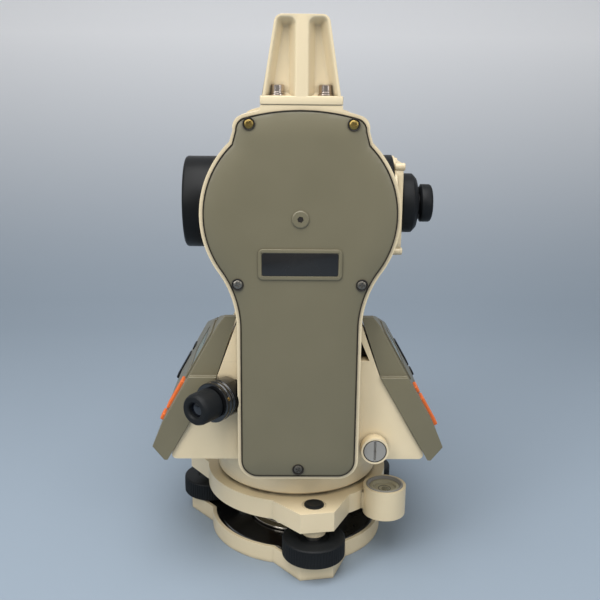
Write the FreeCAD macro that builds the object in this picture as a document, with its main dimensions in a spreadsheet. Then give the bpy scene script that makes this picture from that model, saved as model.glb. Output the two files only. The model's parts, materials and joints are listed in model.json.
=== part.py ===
import FreeCAD, Part
import math
import os
import re

from FreeCAD import Rotation, Vector
from Sketcher import Constraint

# A surveying total station. Millimetres, +Z up, origin on the vertical axis at the underside
# of the tribrach's base plate. The telescope points along -X, its eyepiece along +X, and the
# vertical circle is in the standard on the -Y side.

SIZES = {
    # shapes that cut: how far they reach, and by how much they pass a face
    "far_out": 300.0, "overcut": 1.0,
    # tribrach: base plate
    "rim_radius": 59.5, "lobe_reach": 77.9, "lobe_half": 10.7, "lobe_spread": 24.0,
    "first_lobe": -80.9, "base_height": 11.3, "rim_wall": 2.6, "lining_floor": 7.4,
    "lining_thick": 1.2, "lining_gap": 0.2, "thread_radius": 6.8, "bush_radius": 16.5,
    "bush_height": 13.5, "bush_bevel": 2.0, "lobe_taper": 0.6, "pin_room": 1.0,
    # tribrach: foot screws
    "foot_ring": 66.4, "knob_radius": 20.2, "knob_low": 11.8, "knob_tall": 12.6,
    "knob_bevel": 1.6, "dish_deep": 0.9, "dish_radius": 11.1, "dish_floor": 9.1,
    "pin_radius": 4.0, "pin_seat": 3.0, "shank_radius": 5.0, "shank_top": 40.0,
    "run_gap": 0.05, "sleeve_wall": 2.7, "lift_room": 2.4, "cap_radius": 6.4, "cap_tall": 1.6,
    # tribrach: upper plate, vial and bush
    "plate_low": 32.9, "plate_top": 46.0, "plate_radius": 61.9, "plate_floor": 5.0,
    "plate_wall": 9.0, "hub_wall": 6.0, "arm_root": 43.3, "arm_drop": 1.5, "vial_proud": 0.4,
    "axis_radius": 12.0, "bush_wall": 8.0, "bush_low": 27.0, "bush_top": 62.0,
    "vial_angle": -37.1, "vial_ring": 72.2, "cup_radius": 14.0, "cup_low": 30.0,
    "cup_top": 49.6, "arm_half": 10.5, "vial_radius": 9.9, "ring_wall": 2.2, "vial_low": 39.0,
    "glass_drop": 1.4,
    # alidade: base flange, spindle and circle
    "flange_radius": 54.8, "flange_low": 46.6, "flange_top": 59.5, "flange_bevel": 2.0,
    "groove_deep": 1.6, "groove_tall": 0.5, "turn_gap": 1.0, "circle_radius": 44.0,
    "circle_thick": 2.0, "spindle_low": 30.0, "spindle_disc": 30.0, "spindle_disc_thick": 4.0,
    # alidade: lower housing
    "drum_radius": 57.0, "wall": 3.0, "house_foot": 81.3, "house_low": 75.0, "kink_x": 50.0,
    "kink_z": 130.0, "shoulder_x": 37.5, "shoulder_z": 164.6, "house_depth": 60.0,
    "floor_thick": 5.0, "house_corner": 3.0, "boss_x": 47.8, "boss_z": 83.6,
    "boss_radius": 8.6, "boss_out": 7.5, "slot_cap_radius": 7.0, "slot_cap_thick": 2.4,
    "slot_wide": 1.6, "slot_deep": 0.9, "slot_cap_out": 0.4, "side_wall": 3.6,
    # standards and covers
    "trunnion_z": 229.6, "swing": 90.5, "bulge_rise": 1.4, "bulge_radius": 55.4,
    "bulge_up": 46.0, "bulge_down": -37.0, "crown_x": 32.0, "crown_rise": 55.7,
    "crown_tall": 5.0, "ear_x": 36.4, "ear_rise": 48.9, "neck_x": 34.4, "neck_z": 163.0,
    "neck_curve": 62.0, "cover_low": 70.3, "cover_corner": 10.0, "rim_gap": 0.4, "rim": 2.0,
    "stand_front": 73.6, "stand_back": 46.0, "web": 6.0, "cover_front": 76.4,
    "cover_thick": 4.0, "notch_top": 154.0, "notch_x": 43.4, "notch_sill": 1.0,
    "notch_deep": 11.0, "notch_in": 0.6, "pad_half": 23.0, "pad_tall": 12.0, "pad_rise": 63.0,
    "seat_gap": 0.3, "crown_curve": 7.0, "crown_side": 0.5, "crown_up": 0.8, "ear_side": 0.75,
    "ear_up": 0.2, "screw_room": 0.5, "screw_head": 1.0, "cover_screw": 3.0,
    "cover_screw_sink": 1.2, "top_screw_x": 29.1, "top_screw_rise": 52.8, "mid_screw_x": 36.0,
    "mid_screw_drop": 38.3, "low_screw_z": 75.2, "plug_radius": 5.0, "plug_out": 1.0,
    "hex_radius": 1.7, "hex_deep": 2.0, "plug_step": 1.5, "name_corner": 3.0, "plate_x": 24.3,
    "plate_drop": 35.1, "plate_up": 18.0, "plate_out": 1.0, "plate_rim": 2.2, "plate_sink": 0.5,
    # handle
    "grip_tall": 19.1, "foot_half": 23.0, "foot_tall": 4.8, "leg_half": 22.3,
    "grip_half": 14.6, "handle_lip": 0.4, "leg_thick": 16.0, "grip_clear": 1.4,
    "hand_corner": 9.0, "grip_round": 4.5, "rib_half": 4.2, "pocket_deep": 12.0,
    "pocket_roof": 4.0, "leg_wall": 1.0, "bolt_x": 13.4, "bolt_radius": 2.5, "bolt_head": 3.7,
    "bolt_head_tall": 6.0, "bolt_length": 14.0,
    # panels
    "panel_gap": 0.4, "panel_top_z": 167.6, "panel_top_x": 45.0, "face_x": 68.3,
    "face_z": 128.6, "tilt": 29.3, "face_up": 38.3, "face_down": 32.8, "nose_x": 91.0,
    "nose_z": 84.0, "toe_x": 84.0, "toe_z": 75.2, "panel_reach": 59.6, "ledge_reach": 62.4,
    "ledge_z": 130.0, "scoop_half": 33.0, "crest_y": 55.0, "crest_slope": 17.6,
    "window_low": 3.0, "window_tall": 18.0, "window_half": 21.0, "window_y": 29.0,
    "window_thick": 1.4, "bezel_low": -3.0, "bezel_tall": 34.0, "bezel_half": 25.0,
    "bezel_out": 0.9, "bezel_edge": 2.0, "window_sink": 0.6, "key_wide": 10.0, "key_y": 44.0,
    "key_thick": 4.0, "key_proud": 1.8, "dark_key_proud": 1.0, "key_gap": 0.3,
    "key_short": 4.5, "key_tall": 21.0, "key_step": 4.0, "left_keys_down": 11.0,
    "right_keys_down": 7.5, "key_travel": 0.8, "key_open": 10.0,
    # optical plummet
    "plummet_angle": 55.0, "plummet_cut": 60.0, "collar_gap": 0.4, "collar_bevel": 0.8,
    "eye_bevel": 1.0, "plummet_z": 118.0, "plummet_in": 68.0, "plummet_radius": 10.0,
    "collar_radius": 12.3, "collar_start": 85.5, "collar_long": 6.0, "spigot_radius": 6.0,
    "spigot_long": 9.0, "eye_radius": 9.7, "eye_long": 15.5, "eye_gap": 0.3, "eye_sight": 4.6,
    "eye_sink": 2.5,
    # telescope
    "scope_front": 46.0, "scope_back": 61.0, "scope_radius": 30.5, "scope_wall": 3.0,
    "hub_radius": 24.0, "hub_half": 42.0, "barrel_front": 73.3, "barrel_radius": 29.4,
    "barrel_wall": 3.2, "lens_sink": 9.0, "lens_thick": 5.0, "back_thick": 6.8,
    "back_up": 28.4, "back_down": 31.6, "back_half": 24.0, "back_corner": 9.0,
    "focus_radius": 19.2, "focus_start": 68.7, "focus_long": 8.8, "core_radius": 9.0,
    "focus_bevel": 2.0, "focus_slope": 2.5, "tube_gap": 1.0, "ocular_thick": 1.2,
    "ocular_rim": 2.0, "ocular_deep": 4.0, "eyering_bevel": 1.0, "eyering_radius": 12.0,
    "eyering_start": 78.5, "eyering_long": 8.2, "ocular_radius": 6.0, "ocular_wall": 1.5,
    "sight_long": 30.0, "sight_half": 3.6, "sight_tall": 7.0, "sight_foot": 5.0,
    "sight_lap": 1.0, "sight_round": 1.2, "shaft_lap": 6.0, "boss_deep": 40.0, "boss_lap": 5.0,
    "shaft_radius": 9.0, "shaft_end": 66.0, "bearing_wall": 5.0, "bearing_start": 42.4,
    "bearing_end": 55.0, "glass_circle": 38.0, "glass_y": 59.0,
    # far side: battery and drives
    "battery_half": 26.0, "battery_low": 84.0, "battery_tall": 78.0, "battery_out": 9.0,
    "battery_gap": 0.5, "battery_round": 4.0, "drive_x": 49.0, "drive_z": 97.0,
    "drive_radius": 9.5, "drive_long": 16.0, "stem_radius": 4.0, "stem_out": 6.0,
    "stem_in": 8.0, "clamp_radius": 8.0, "clamp_long": 11.0, "lever_long": 9.0,
    "lever_thick": 4.0, "lever_inset": 2.0, "lever_round": 1.8, "drive_bevel": 1.0,
    "high_drive_x": 24.0, "high_drive_z": 196.0,
}

LOBES = {"front": 0, "right": 120, "left": 240}

doc = FreeCAD.newDocument("total_station")
sheet = doc.addObject("Spreadsheet::Sheet", "sizes")
for row, (alias, number) in enumerate(SIZES.items(), start=1):
    sheet.set("A%d" % row, alias)
    sheet.set("B%d" % row, str(number))
    sheet.setAlias("B%d" % row, alias)
doc.recompute()

nodes = []


def formula(words):
    """An expression with every size written as a cell of the sheet."""
    def cell(match):
        word = match.group()
        return "sizes." + word if word in SIZES else word
    return re.sub(r"[a-z][a-z_]*", cell, str(words))


def value(words):
    """The number that an expression gives now."""
    number = sheet.evalExpression(formula(words))
    return float(getattr(number, "Value", number))


def bind(thing, **sizes):
    for name, words in sizes.items():
        thing.setExpression(name, formula(words))
    return thing


def place(thing, x=0, y=0, z=0):
    for name, words in zip("xyz", (x, y, z)):
        thing.setExpression(".Placement.Base." + name, formula(words))
    return thing


def turn(thing, axis, degrees):
    """Turns a thing about a line through its own origin."""
    thing.Placement.Rotation = Rotation(Vector(*axis), 10)
    thing.setExpression(".Placement.Rotation.Angle", formula(degrees))
    return thing


def node(thing, name):
    thing.Label = name
    nodes.append(thing)
    return thing


DIRECTIONS = {
    "+Z": Rotation(), "-Z": Rotation(Vector(1, 0, 0), 180),
    "+X": Rotation(Vector(0, 1, 0), 90), "-X": Rotation(Vector(0, 1, 0), -90),
    "+Y": Rotation(Vector(1, 0, 0), -90), "-Y": Rotation(Vector(1, 0, 0), 90),
}


def drum(radius, length, x=0, y=0, z=0, way="+Z"):
    """A cylinder that starts at a point and runs one way."""
    thing = doc.addObject("Part::Cylinder", "drum")
    thing.Placement.Rotation = DIRECTIONS[way]
    bind(thing, Radius=radius, Height=length)
    return place(thing, x, y, z)


def block(length, width, height, x=0, y=0, z=0):
    """A box with its lowest corner at a point."""
    thing = doc.addObject("Part::Box", "block")
    bind(thing, Length=length, Width=width, Height=height)
    return place(thing, x, y, z)


def fuse(*things):
    thing = doc.addObject("Part::MultiFuse", "fuse")
    thing.Shapes = list(things)
    thing.Refine = True
    return thing


def cut(base, *tools):
    thing = doc.addObject("Part::Cut", "cut")
    thing.Base = base
    thing.Tool = tools[0] if len(tools) == 1 else fuse(*tools)
    return thing


def common(base, tool):
    thing = doc.addObject("Part::Common", "common")
    thing.Base = base
    thing.Tool = tool
    return thing


def group(*things):
    """Separate solids in one object."""
    thing = doc.addObject("Part::Compound", "group")
    thing.Links = list(things)
    return thing


def rounded(base, radius, wanted):
    """Rounds each edge for which wanted(edge) is true."""
    doc.recompute()
    thing = doc.addObject("Part::Fillet", "rounded")
    thing.Base = base
    size = value(radius)
    thing.Edges = [(number, size, size) for number, edge in enumerate(base.Shape.Edges, start=1)
                   if wanted(edge)]
    return thing


def along(axis):
    """A test for straight edges that run along one axis."""
    way = {"X": Vector(1, 0, 0), "Y": Vector(0, 1, 0), "Z": Vector(0, 0, 1)}[axis]

    def wanted(edge):
        if not isinstance(edge.Curve, Part.Line):
            return False
        return abs(abs(edge.Curve.Direction.dot(way)) - 1) < 1e-6
    return wanted


def arc_between(start, end, radius):
    """The arc from start to end; a positive radius turns left of the straight line."""
    chord = end - start
    half = chord.Length / 2
    side = Vector(-chord.y, chord.x, 0).normalize()
    rise = math.sqrt(max(radius * radius - half * half, 0))
    centre = (start + end) / 2 + side * (rise if radius > 0 else -rise)
    circle = Part.Circle(centre, Vector(0, 0, 1), abs(radius))
    first, last = (start, end) if radius > 0 else (end, start)
    angles = [math.atan2(p.y - centre.y, p.x - centre.x) for p in (first, last)]
    return Part.ArcOfCircle(circle, angles[0], angles[1])


def outline(body, plane, corners):
    """A closed outline. A corner is (x, y), or (x, y, radius) where an arc leads on from it."""
    sketch = body.newObject("Sketcher::SketchObject", "outline")
    origin = [part for part in body.Origin.OriginFeatures if part.Role == plane + "_Plane"][0]
    sketch.AttachmentSupport = [(origin, "")]
    sketch.MapMode = "FlatFace"
    points = [Vector(value(corner[0]), value(corner[1]), 0) for corner in corners]
    starts, ends = [], []
    for number, corner in enumerate(corners):
        here, there = points[number], points[(number + 1) % len(points)]
        if len(corner) == 2:
            sketch.addGeometry(Part.LineSegment(here, there), False)
            starts.append(1)
            ends.append(2)
            continue
        radius = value(corner[2])
        sketch.addGeometry(arc_between(here, there, radius), False)
        starts.append(1 if radius > 0 else 2)
        ends.append(2 if radius > 0 else 1)
    for number in range(len(corners)):
        after = (number + 1) % len(corners)
        sketch.addConstraint(Constraint("Coincident", number, ends[number], after, starts[after]))
    for number, corner in enumerate(corners):
        for kind, words in (("DistanceX", corner[0]), ("DistanceY", corner[1])):
            one = sketch.addConstraint(
                Constraint(kind, -1, 1, number, starts[number], value(words)))
            sketch.setExpression("Constraints[%d]" % one, formula(words))
        if len(corner) == 3:
            one = sketch.addConstraint(Constraint("Radius", number, abs(value(corner[2]))))
            sketch.setExpression("Constraints[%d]" % one, formula("abs(%s)" % corner[2]))
    return sketch


def prism(plane, corners, depth, **where):
    """A pad of an outline: XY grows along +Z, XZ along -Y and YZ along +X."""
    body = doc.addObject("PartDesign::Body", "prism")
    sketch = outline(body, plane, corners)
    pad = body.newObject("PartDesign::Pad", "pad")
    pad.Profile = sketch
    bind(pad, Length=depth)
    return place(body, **where)


def lathe(corners, way="+Z", **where):
    """A turned piece: corners are (radius, height) along its axis."""
    body = doc.addObject("PartDesign::Body", "lathe")
    sketch = outline(body, "XZ", corners)
    turned = body.newObject("PartDesign::Revolution", "turned")
    turned.Profile = sketch
    turned.ReferenceAxis = (sketch, ["V_Axis"])
    turned.Angle = 360
    body.Placement.Rotation = DIRECTIONS[way]
    return place(body, **where)


def negative(words):
    return "-(%s)" % words


def both_sides(corners):
    """The right half of an outline, from top to bottom, and its mirror image."""
    left = []
    for number in range(len(corners) - 1, -1, -1):
        corner = (negative(corners[number][0]), corners[number][1])
        if number > 0 and len(corners[number - 1]) == 3:
            corner += (corners[number - 1][2],)
        left.append(corner)
    return corners + left


def polar(distance, degrees):
    return "(%s)*cos(%s)" % (distance, degrees), "(%s)*sin(%s)" % (distance, degrees)


# ---------------------------------------------------------------- tribrach

def lobed_plate(radius, inset, height, z):
    """A round plate with three flat-ended lobes."""
    pieces = [drum("%s - %s" % (radius, inset), height, z=z)]
    across = "(lobe_half - %s*lobe_taper)" % inset
    reach = "(lobe_reach - %s)" % inset
    root = "(%s - %s)" % (radius, inset)
    for degrees in LOBES.values():
        lobe = prism("XY", [("0", "0"), (root + "*cos(lobe_spread)", "-" + root + "*sin(lobe_spread)"),
                            (reach, "-" + across), (reach, across),
                            (root + "*cos(lobe_spread)", root + "*sin(lobe_spread)")],
                     height, z=z)
        pieces.append(turn(lobe, (0, 0, 1), "first_lobe + %d" % degrees))
    return fuse(*pieces)


def at_lobes(make):
    """One thing over each lobe: make(x, y) builds it."""
    return [make(*polar("foot_ring", "(first_lobe + %d)" % degrees)) for degrees in LOBES.values()]


def tribrach_base():
    plate = lobed_plate("rim_radius", "0", "base_height", "0")
    recess = lobed_plate("rim_radius", "rim_wall", "base_height", "lining_floor")
    bore = drum("bush_radius", "base_height + bush_height", z="-overcut")
    seats = at_lobes(lambda x, y: drum("pin_radius + run_gap", "base_height", x, y, "pin_seat"))
    node(cut(plate, recess, bore, *seats), "base_plate")
    sheet_metal = lobed_plate("rim_radius", "(rim_wall + lining_gap)", "lining_thick", "lining_floor")
    middle = drum("bush_radius", "base_height", z="0")
    holes = at_lobes(lambda x, y: drum("pin_radius + pin_room", "base_height", x, y,
                                       "lining_floor - overcut"))
    node(cut(sheet_metal, middle, *holes), "base_lining")
    node(lathe([("thread_radius", "0"), ("bush_radius", "0"), ("bush_radius", "bush_height - bush_bevel"),
                ("bush_radius - bush_bevel", "bush_height"), ("thread_radius", "bush_height")]),
         "centre_thread_bush")


def foot_screw(name, degrees):
    x, y = polar("foot_ring", "(first_lobe + %d)" % degrees)
    node(lathe([("pin_radius", "0"), ("knob_radius - knob_bevel", "0"), ("knob_radius", "knob_bevel"),
                ("knob_radius", "knob_tall - knob_bevel"), ("knob_radius - knob_bevel", "knob_tall"),
                ("dish_radius", "knob_tall"), ("dish_floor", "knob_tall - dish_deep"),
                ("pin_radius", "knob_tall - dish_deep")], x=x, y=y, z="knob_low"),
         "levelling_knob_" + name)
    knob_seat = "knob_low + knob_tall - dish_deep"
    pin_end = "pin_seat + seat_gap"
    node(lathe([("0", pin_end), ("pin_radius", pin_end), ("pin_radius", knob_seat),
                ("shank_radius", knob_seat), ("shank_radius", "shank_top"), ("0", "shank_top")],
               x=x, y=y), "levelling_screw_" + name)


def levelling_head():
    plate = lobed_plate("plate_radius", "0", "plate_top - plate_low", "plate_low")
    hollow = drum("plate_radius - plate_wall", "plate_top - plate_low", z="plate_low - plate_floor")
    hub = drum("axis_radius + bush_wall + hub_wall", "plate_top - plate_low", z="plate_low")
    cup_x, cup_y = polar("vial_ring", "vial_angle")
    cup = drum("cup_radius", "cup_top - cup_low", cup_x, cup_y, "cup_low")
    arm = prism("XY", [("arm_root", "-arm_half"), ("vial_ring", "-arm_half"),
                       ("vial_ring", "arm_half"), ("arm_root", "arm_half")],
                "plate_top - plate_low - arm_drop", z="plate_low")
    turn(arm, (0, 0, 1), "vial_angle")
    bores = at_lobes(lambda x, y: drum("shank_radius + sleeve_wall", "far_out", x, y, "0"))
    seat = drum("vial_radius + ring_wall", "cup_top", cup_x, cup_y, "vial_low")
    bush_bore = drum("axis_radius + bush_wall", "far_out", z="0")
    casting = fuse(cut(plate, hollow), hub, cup, arm)
    node(cut(casting, seat, bush_bore, *bores), "upper_plate")

    sleeve_low = "(knob_low + knob_tall + lift_room)"
    sleeve = [("shank_radius + run_gap", sleeve_low), ("shank_radius + sleeve_wall", sleeve_low),
              ("shank_radius + sleeve_wall", "plate_top"), ("shank_radius + run_gap", "plate_top")]
    node(group(*at_lobes(lambda x, y: lathe(sleeve, x=x, y=y))), "screw_sleeves")
    node(group(*at_lobes(lambda x, y: drum("cap_radius", "cap_tall", x, y, "plate_top"))),
         "screw_caps")
    node(lathe([("vial_radius", "vial_low"), ("vial_radius + ring_wall", "vial_low"),
                ("vial_radius + ring_wall", "cup_top + vial_proud"),
                ("vial_radius", "cup_top + vial_proud")],
               x=cup_x, y=cup_y), "vial_ring")
    node(drum("vial_radius", "cup_top - glass_drop - vial_low", cup_x, cup_y, "vial_low"),
         "vial_glass")
    node(lathe([("axis_radius + run_gap", "bush_low"), ("axis_radius + bush_wall", "bush_low"),
                ("axis_radius + bush_wall", "bush_top"), ("axis_radius + run_gap", "bush_top")]),
         "axis_bush")
    node(lathe([("axis_radius + bush_wall", "bush_top - circle_thick"),
                ("circle_radius", "bush_top - circle_thick"), ("circle_radius", "bush_top"),
                ("axis_radius + bush_wall", "bush_top")]), "horizontal_circle")


# ---------------------------------------------------------------- alidade

def base_flange():
    drum_inner = "(drum_radius - wall)"
    node(lathe([("axis_radius + bush_wall + turn_gap", "flange_low"),
                ("flange_radius - flange_bevel", "flange_low"),
                ("flange_radius", "flange_low + flange_bevel"), ("flange_radius", "flange_top"),
                ("flange_radius - groove_deep", "flange_top"),
                ("flange_radius - groove_deep", "flange_top + groove_tall"),
                ("drum_radius", "flange_top + groove_tall"), ("drum_radius", "house_low"),
                (drum_inner, "house_low"), (drum_inner, "flange_top"),
                ("axis_radius + bush_wall + turn_gap", "flange_top")]), "base_flange")
    disc_top = "(house_low - floor_thick)"
    disc_low = "(house_low - floor_thick - spindle_disc_thick)"
    node(lathe([("0", "spindle_low"), ("axis_radius", "spindle_low"), ("axis_radius", disc_low),
                ("spindle_disc", disc_low), ("spindle_disc", disc_top), ("0", disc_top)]),
         "vertical_axis")


LOWER_SLOPE = "((house_foot - kink_x)/(kink_z - house_low))"
UPPER_SLOPE = "((kink_x - shoulder_x)/(shoulder_z - kink_z))"


def wedge(inset, low, high, depth):
    """The lower housing's sloping block, from a height below the kink to one above it."""
    low_x = "(house_foot - (%s - house_low)*%s - %s)" % (low, LOWER_SLOPE, inset)
    kink = "(kink_x - %s)" % inset
    high_x = "(kink_x - (%s - kink_z)*%s - %s)" % (high, UPPER_SLOPE, inset)
    return prism("XZ", both_sides([(high_x, high), (kink, "kink_z"), (low_x, low)]),
                 "2*" + depth, y=depth)


def lower_housing():
    top = "(trunnion_z - swing)"
    outer = wedge("0", "house_low", top, "house_depth")
    floor = drum("drum_radius - wall", "floor_thick", z="house_low - floor_thick")
    inner = wedge("side_wall", "(house_low + wall)", "(%s - wall)" % top, "(house_depth - wall)")
    boss = drum("boss_radius", "boss_out + wall", "boss_x", "-(house_depth - wall)", "boss_z", "-Y")
    boss_seat = drum("slot_cap_radius", "boss_out", "boss_x",
                     "-(house_depth + boss_out - slot_cap_thick + slot_cap_out)", "boss_z", "-Y")
    across = along("Y")
    shell = rounded(outer, "house_corner", lambda edge: across(edge) and edge.BoundBox.ZMax
                    < value("house_low") + 0.01)
    tunnel = plummet_drum("plummet_radius", "plummet_in", "plummet_cut")
    stems = [drum("stem_radius + run_gap", "stem_in*2", x, "house_depth - stem_in", "drive_z", "+Y")
             for x in ("drive_x", "-drive_x")]
    node(cut(fuse(shell, floor, boss), inner, boss_seat, tunnel, *stems),
         "lower_housing")
    front = "(house_depth + boss_out)"
    head = drum("slot_cap_radius", "slot_cap_thick", "boss_x",
                "-(%s - slot_cap_thick + slot_cap_out)" % front, "boss_z", "-Y")
    slot = block("slot_wide", "slot_deep + overcut", "2*(slot_cap_radius + overcut)",
                 "boss_x - slot_wide/2", "-(%s + slot_cap_out + overcut)" % front,
                 "boss_z - slot_cap_radius - overcut")
    node(cut(head, slot), "battery_contact_cap")


def plummet_drum(radius, start, length):
    """A cylinder on the optical plummet's axis, from a distance out along it."""
    thing = doc.addObject("Part::Cylinder", "plummet_drum")
    bind(thing, Radius=radius, Height=length)
    return aim_plummet(thing, start)


def aim_plummet(thing, start):
    """Points a thing's own +Z away from the vertical axis, along the plummet."""
    thing.Placement.Rotation = Rotation(Vector(1, 1, 0), 10)
    bind(thing, **{".Placement.Rotation.Axis.x": "sin(plummet_angle)",
                   ".Placement.Rotation.Axis.y": "-cos(plummet_angle)",
                   ".Placement.Rotation.Axis.z": "0"})
    thing.setExpression(".Placement.Rotation.Angle", "90")
    x, y = polar(start, "(180 + plummet_angle)")
    return place(thing, x, y, "plummet_z")


def optical_plummet():
    spigot_end = "(collar_start + collar_long + spigot_long)"
    barrel = lathe([("0", "0"), ("plummet_radius", "0"), ("plummet_radius", "collar_start - plummet_in"),
                    ("spigot_radius", "collar_start - plummet_in"),
                    ("spigot_radius", spigot_end + " - plummet_in"),
                    ("0", spigot_end + " - plummet_in")])
    aim_plummet(barrel, "plummet_in")
    collar = lathe([("spigot_radius", "0"), ("collar_radius - collar_bevel", "0"),
                    ("collar_radius", "collar_bevel"),
                    ("collar_radius", "collar_long - collar_bevel"),
                    ("collar_radius - collar_bevel", "collar_long"),
                    ("spigot_radius", "collar_long")])
    node(fuse(barrel, aim_plummet(collar, "collar_start")), "plummet_barrel")
    bore = "(spigot_radius + run_gap)"
    eye = lathe([("0", "spigot_long + eye_gap"), (bore, "spigot_long + eye_gap"), (bore, "0"),
                 ("eye_radius", "0"), ("eye_radius", "eye_long - eye_bevel"),
                 ("eye_radius - eye_bevel", "eye_long"),
                 ("eye_sight", "eye_long"), ("eye_sight", "eye_long - eye_sink"),
                 ("0", "eye_long - eye_sink")])
    node(aim_plummet(eye, "collar_start + collar_long + eye_gap"), "plummet_eyepiece")


# ---------------------------------------------------------------- standards

def cover_outline(grow):
    """The cover's outline, made larger all round by a margin."""
    bulge = "(bulge_radius + %s)" % grow
    up_x, up_z = polar(bulge, "bulge_up")
    down_x, down_z = polar(bulge, "bulge_down")
    corner = "(cover_corner + %s)" % grow
    side = "(neck_x + %s)" % grow
    bottom = "(cover_low - %s)" % grow
    return both_sides([
        ("crown_x + %s*crown_side" % grow, "trunnion_z + crown_rise + %s*crown_up" % grow, "-crown_curve"),
        ("ear_x + %s*ear_side" % grow, "trunnion_z + ear_rise + %s*ear_up" % grow),
        (up_x, "trunnion_z + bulge_rise + " + up_z, "-" + bulge),
        (down_x, "trunnion_z + bulge_rise + " + down_z, "(neck_curve - %s)" % grow),
        (side, "neck_z"),
        (side, "%s + %s" % (bottom, corner), "-" + corner),
        ("%s - %s" % (side, corner), bottom),
    ])


def crowned(corners):
    """Closes an outline's top with the shallow arc over the crown."""
    half = "(crown_x + rim)"
    radius = "-((%s^2 + crown_tall^2)/(2*crown_tall))" % half
    return corners[:-1] + [corners[-1][:2] + (radius,)]


def slab(grow, near, far):
    """A piece of the standard's outline between two distances from the middle, on -Y."""
    return prism("XZ", crowned(cover_outline(grow)), "%s - %s" % (far, near), y="-" + near)


def to_side(thing, side):
    """Leaves a thing on -Y or mirrors it to +Y."""
    if side < 0:
        return thing
    copy = doc.addObject("Part::Mirroring", "mirrored")
    copy.Source = thing
    copy.Normal = Vector(0, 1, 0)
    return copy


def standard(side, name):
    grow = "(rim + rim_gap)"
    top = "(trunnion_z - swing)"
    shell = slab(grow, "stand_back", "stand_front")
    behind = block("far_out", "house_depth + overcut", top, "-far_out/2",
                   "-(house_depth + seat_gap)", "0")
    wing = prism("XZ", both_sides([("shoulder_x", "shoulder_z"),
                                   ("kink_x - (%s - kink_z)*%s" % (top, UPPER_SLOPE), top)]),
                 "2*house_depth", y="house_depth")
    between = block("far_out", "stand_back*2", "far_out", "-far_out/2", "-stand_back", "0")
    other = block("far_out", "house_depth*2", "far_out", "-far_out/2", "0", "0")
    pad = block("pad_half*2", "stand_front - stand_back", "pad_tall", "-pad_half",
                "-stand_front", "trunnion_z + pad_rise - pad_tall")
    notch = prism("XZ", [("neck_x + %s + notch_in" % grow, "notch_top"), ("notch_x", top + " + notch_sill"),
                         ("neck_x + %s + notch_in" % grow, top + " + notch_sill")],
                  "notch_deep + overcut", y="-(house_depth - notch_deep)")
    body = fuse(cut(shell, behind), cut(wing, between, other, notch), pad)
    hollow = slab("rim_gap", "(stand_back + web)", "(stand_front + overcut)")
    lower = block("far_out", "stand_back", top, "-far_out/2", "-(house_depth + wall + seat_gap)", "0")
    bearing = drum("shaft_radius + bearing_wall", "boss_deep", 0, "-(stand_back - boss_lap)",
                   "trunnion_z", "-Y")
    pieces = [cut(hollow, lower), bearing]
    pieces += handle_bolts(lambda x, y: drum("bolt_radius", "bolt_length", x, y,
                                             HANDLE_LOW + " + foot_tall - bolt_length"))
    if side < 0:
        pieces.append(plummet_drum("collar_radius + collar_gap", "plummet_cut", "plummet_cut"))
    node(to_side(cut(body, *pieces), side), name)


def cover(side, name):
    plate = slab("0", "(cover_front - cover_thick)", "cover_front")
    sinks = [drum("cover_screw + screw_room", "cover_thick", x,
                  "-(cover_front - cover_screw_sink - screw_head)", z, "-Y")
             for x, z in cover_screw_places()]
    tools = list(sinks)
    if side < 0:
        tools.append(drum("plug_radius - plug_step", "2*cover_thick + overcut", 0,
                          "-(cover_front - cover_thick - overcut)", "trunnion_z", "-Y"))
        tools.append(plummet_drum("collar_radius + collar_gap", "plummet_cut", "plummet_cut"))
    else:
        tools += [drum("stem_radius + run_gap", "stem_in*2", x, "-(cover_front - stem_in)",
                       "high_drive_z", "-Y") for x in ("high_drive_x", "-high_drive_x")]
    node(to_side(cut(plate, *tools), side), name)


def cover_screw_places():
    places = [("top_screw_x", "trunnion_z + top_screw_rise"), ("mid_screw_x", "trunnion_z - mid_screw_drop")]
    places += [(negative(x), z) for x, z in places]
    return places + [("0", "low_screw_z")]


def cover_screws(side, name):
    screws = []
    for x, z in cover_screw_places():
        head = drum("cover_screw", "screw_head", x,
                    "-(cover_front - cover_screw_sink - screw_head)", z, "-Y")
        screws.append(head)
    node(to_side(group(*screws), side), name)


def circle_side_fittings():
    boss = lathe([("0", "0"), ("plug_radius - plug_step", "0"), ("plug_radius - plug_step", "cover_thick"),
                  ("plug_radius", "cover_thick"), ("plug_radius", "cover_thick + plug_out"),
                  ("0", "cover_thick + plug_out")], "-Y", y="-(cover_front - cover_thick)",
                 z="trunnion_z")
    socket = drum("hex_radius", "hex_deep + overcut", 0, "-(cover_front + plug_out - hex_deep)",
                  "trunnion_z", "-Y")
    node(cut(boss, socket), "circle_plug")
    plate = block("plate_x*2", "plate_out", "plate_up", "-plate_x", "-(cover_front + plate_out)",
                  "trunnion_z - plate_drop")
    plate = rounded(plate, "name_corner", along("Y"))
    field = block("(plate_x - plate_rim)*2", "plate_out", "plate_up - 2*plate_rim",
                  "-(plate_x - plate_rim)", "-(cover_front + 2*plate_out - plate_sink)",
                  "trunnion_z - plate_drop + plate_rim")
    node(cut(plate, field), "blank_name_plate")


# ---------------------------------------------------------------- handle

HANDLE_LOW = "(trunnion_z + pad_rise + seat_gap)"
HAND_TOP = "(trunnion_z + swing + grip_clear)"
HANDLE_TOP = "(trunnion_z + swing + grip_clear + grip_tall)"
HANDLE_REACH = "(stand_front + handle_lip)"
HAND_REACH = "(stand_front + handle_lip - leg_thick)"


def handle_bolts(make):
    """One thing at each of the handle's four screws: make(x, y) builds it."""
    return [make("%d*bolt_x" % side, "%d*(%s - pocket_deep/2)" % (end, HANDLE_REACH))
            for side in (1, -1) for end in (1, -1)]


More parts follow.
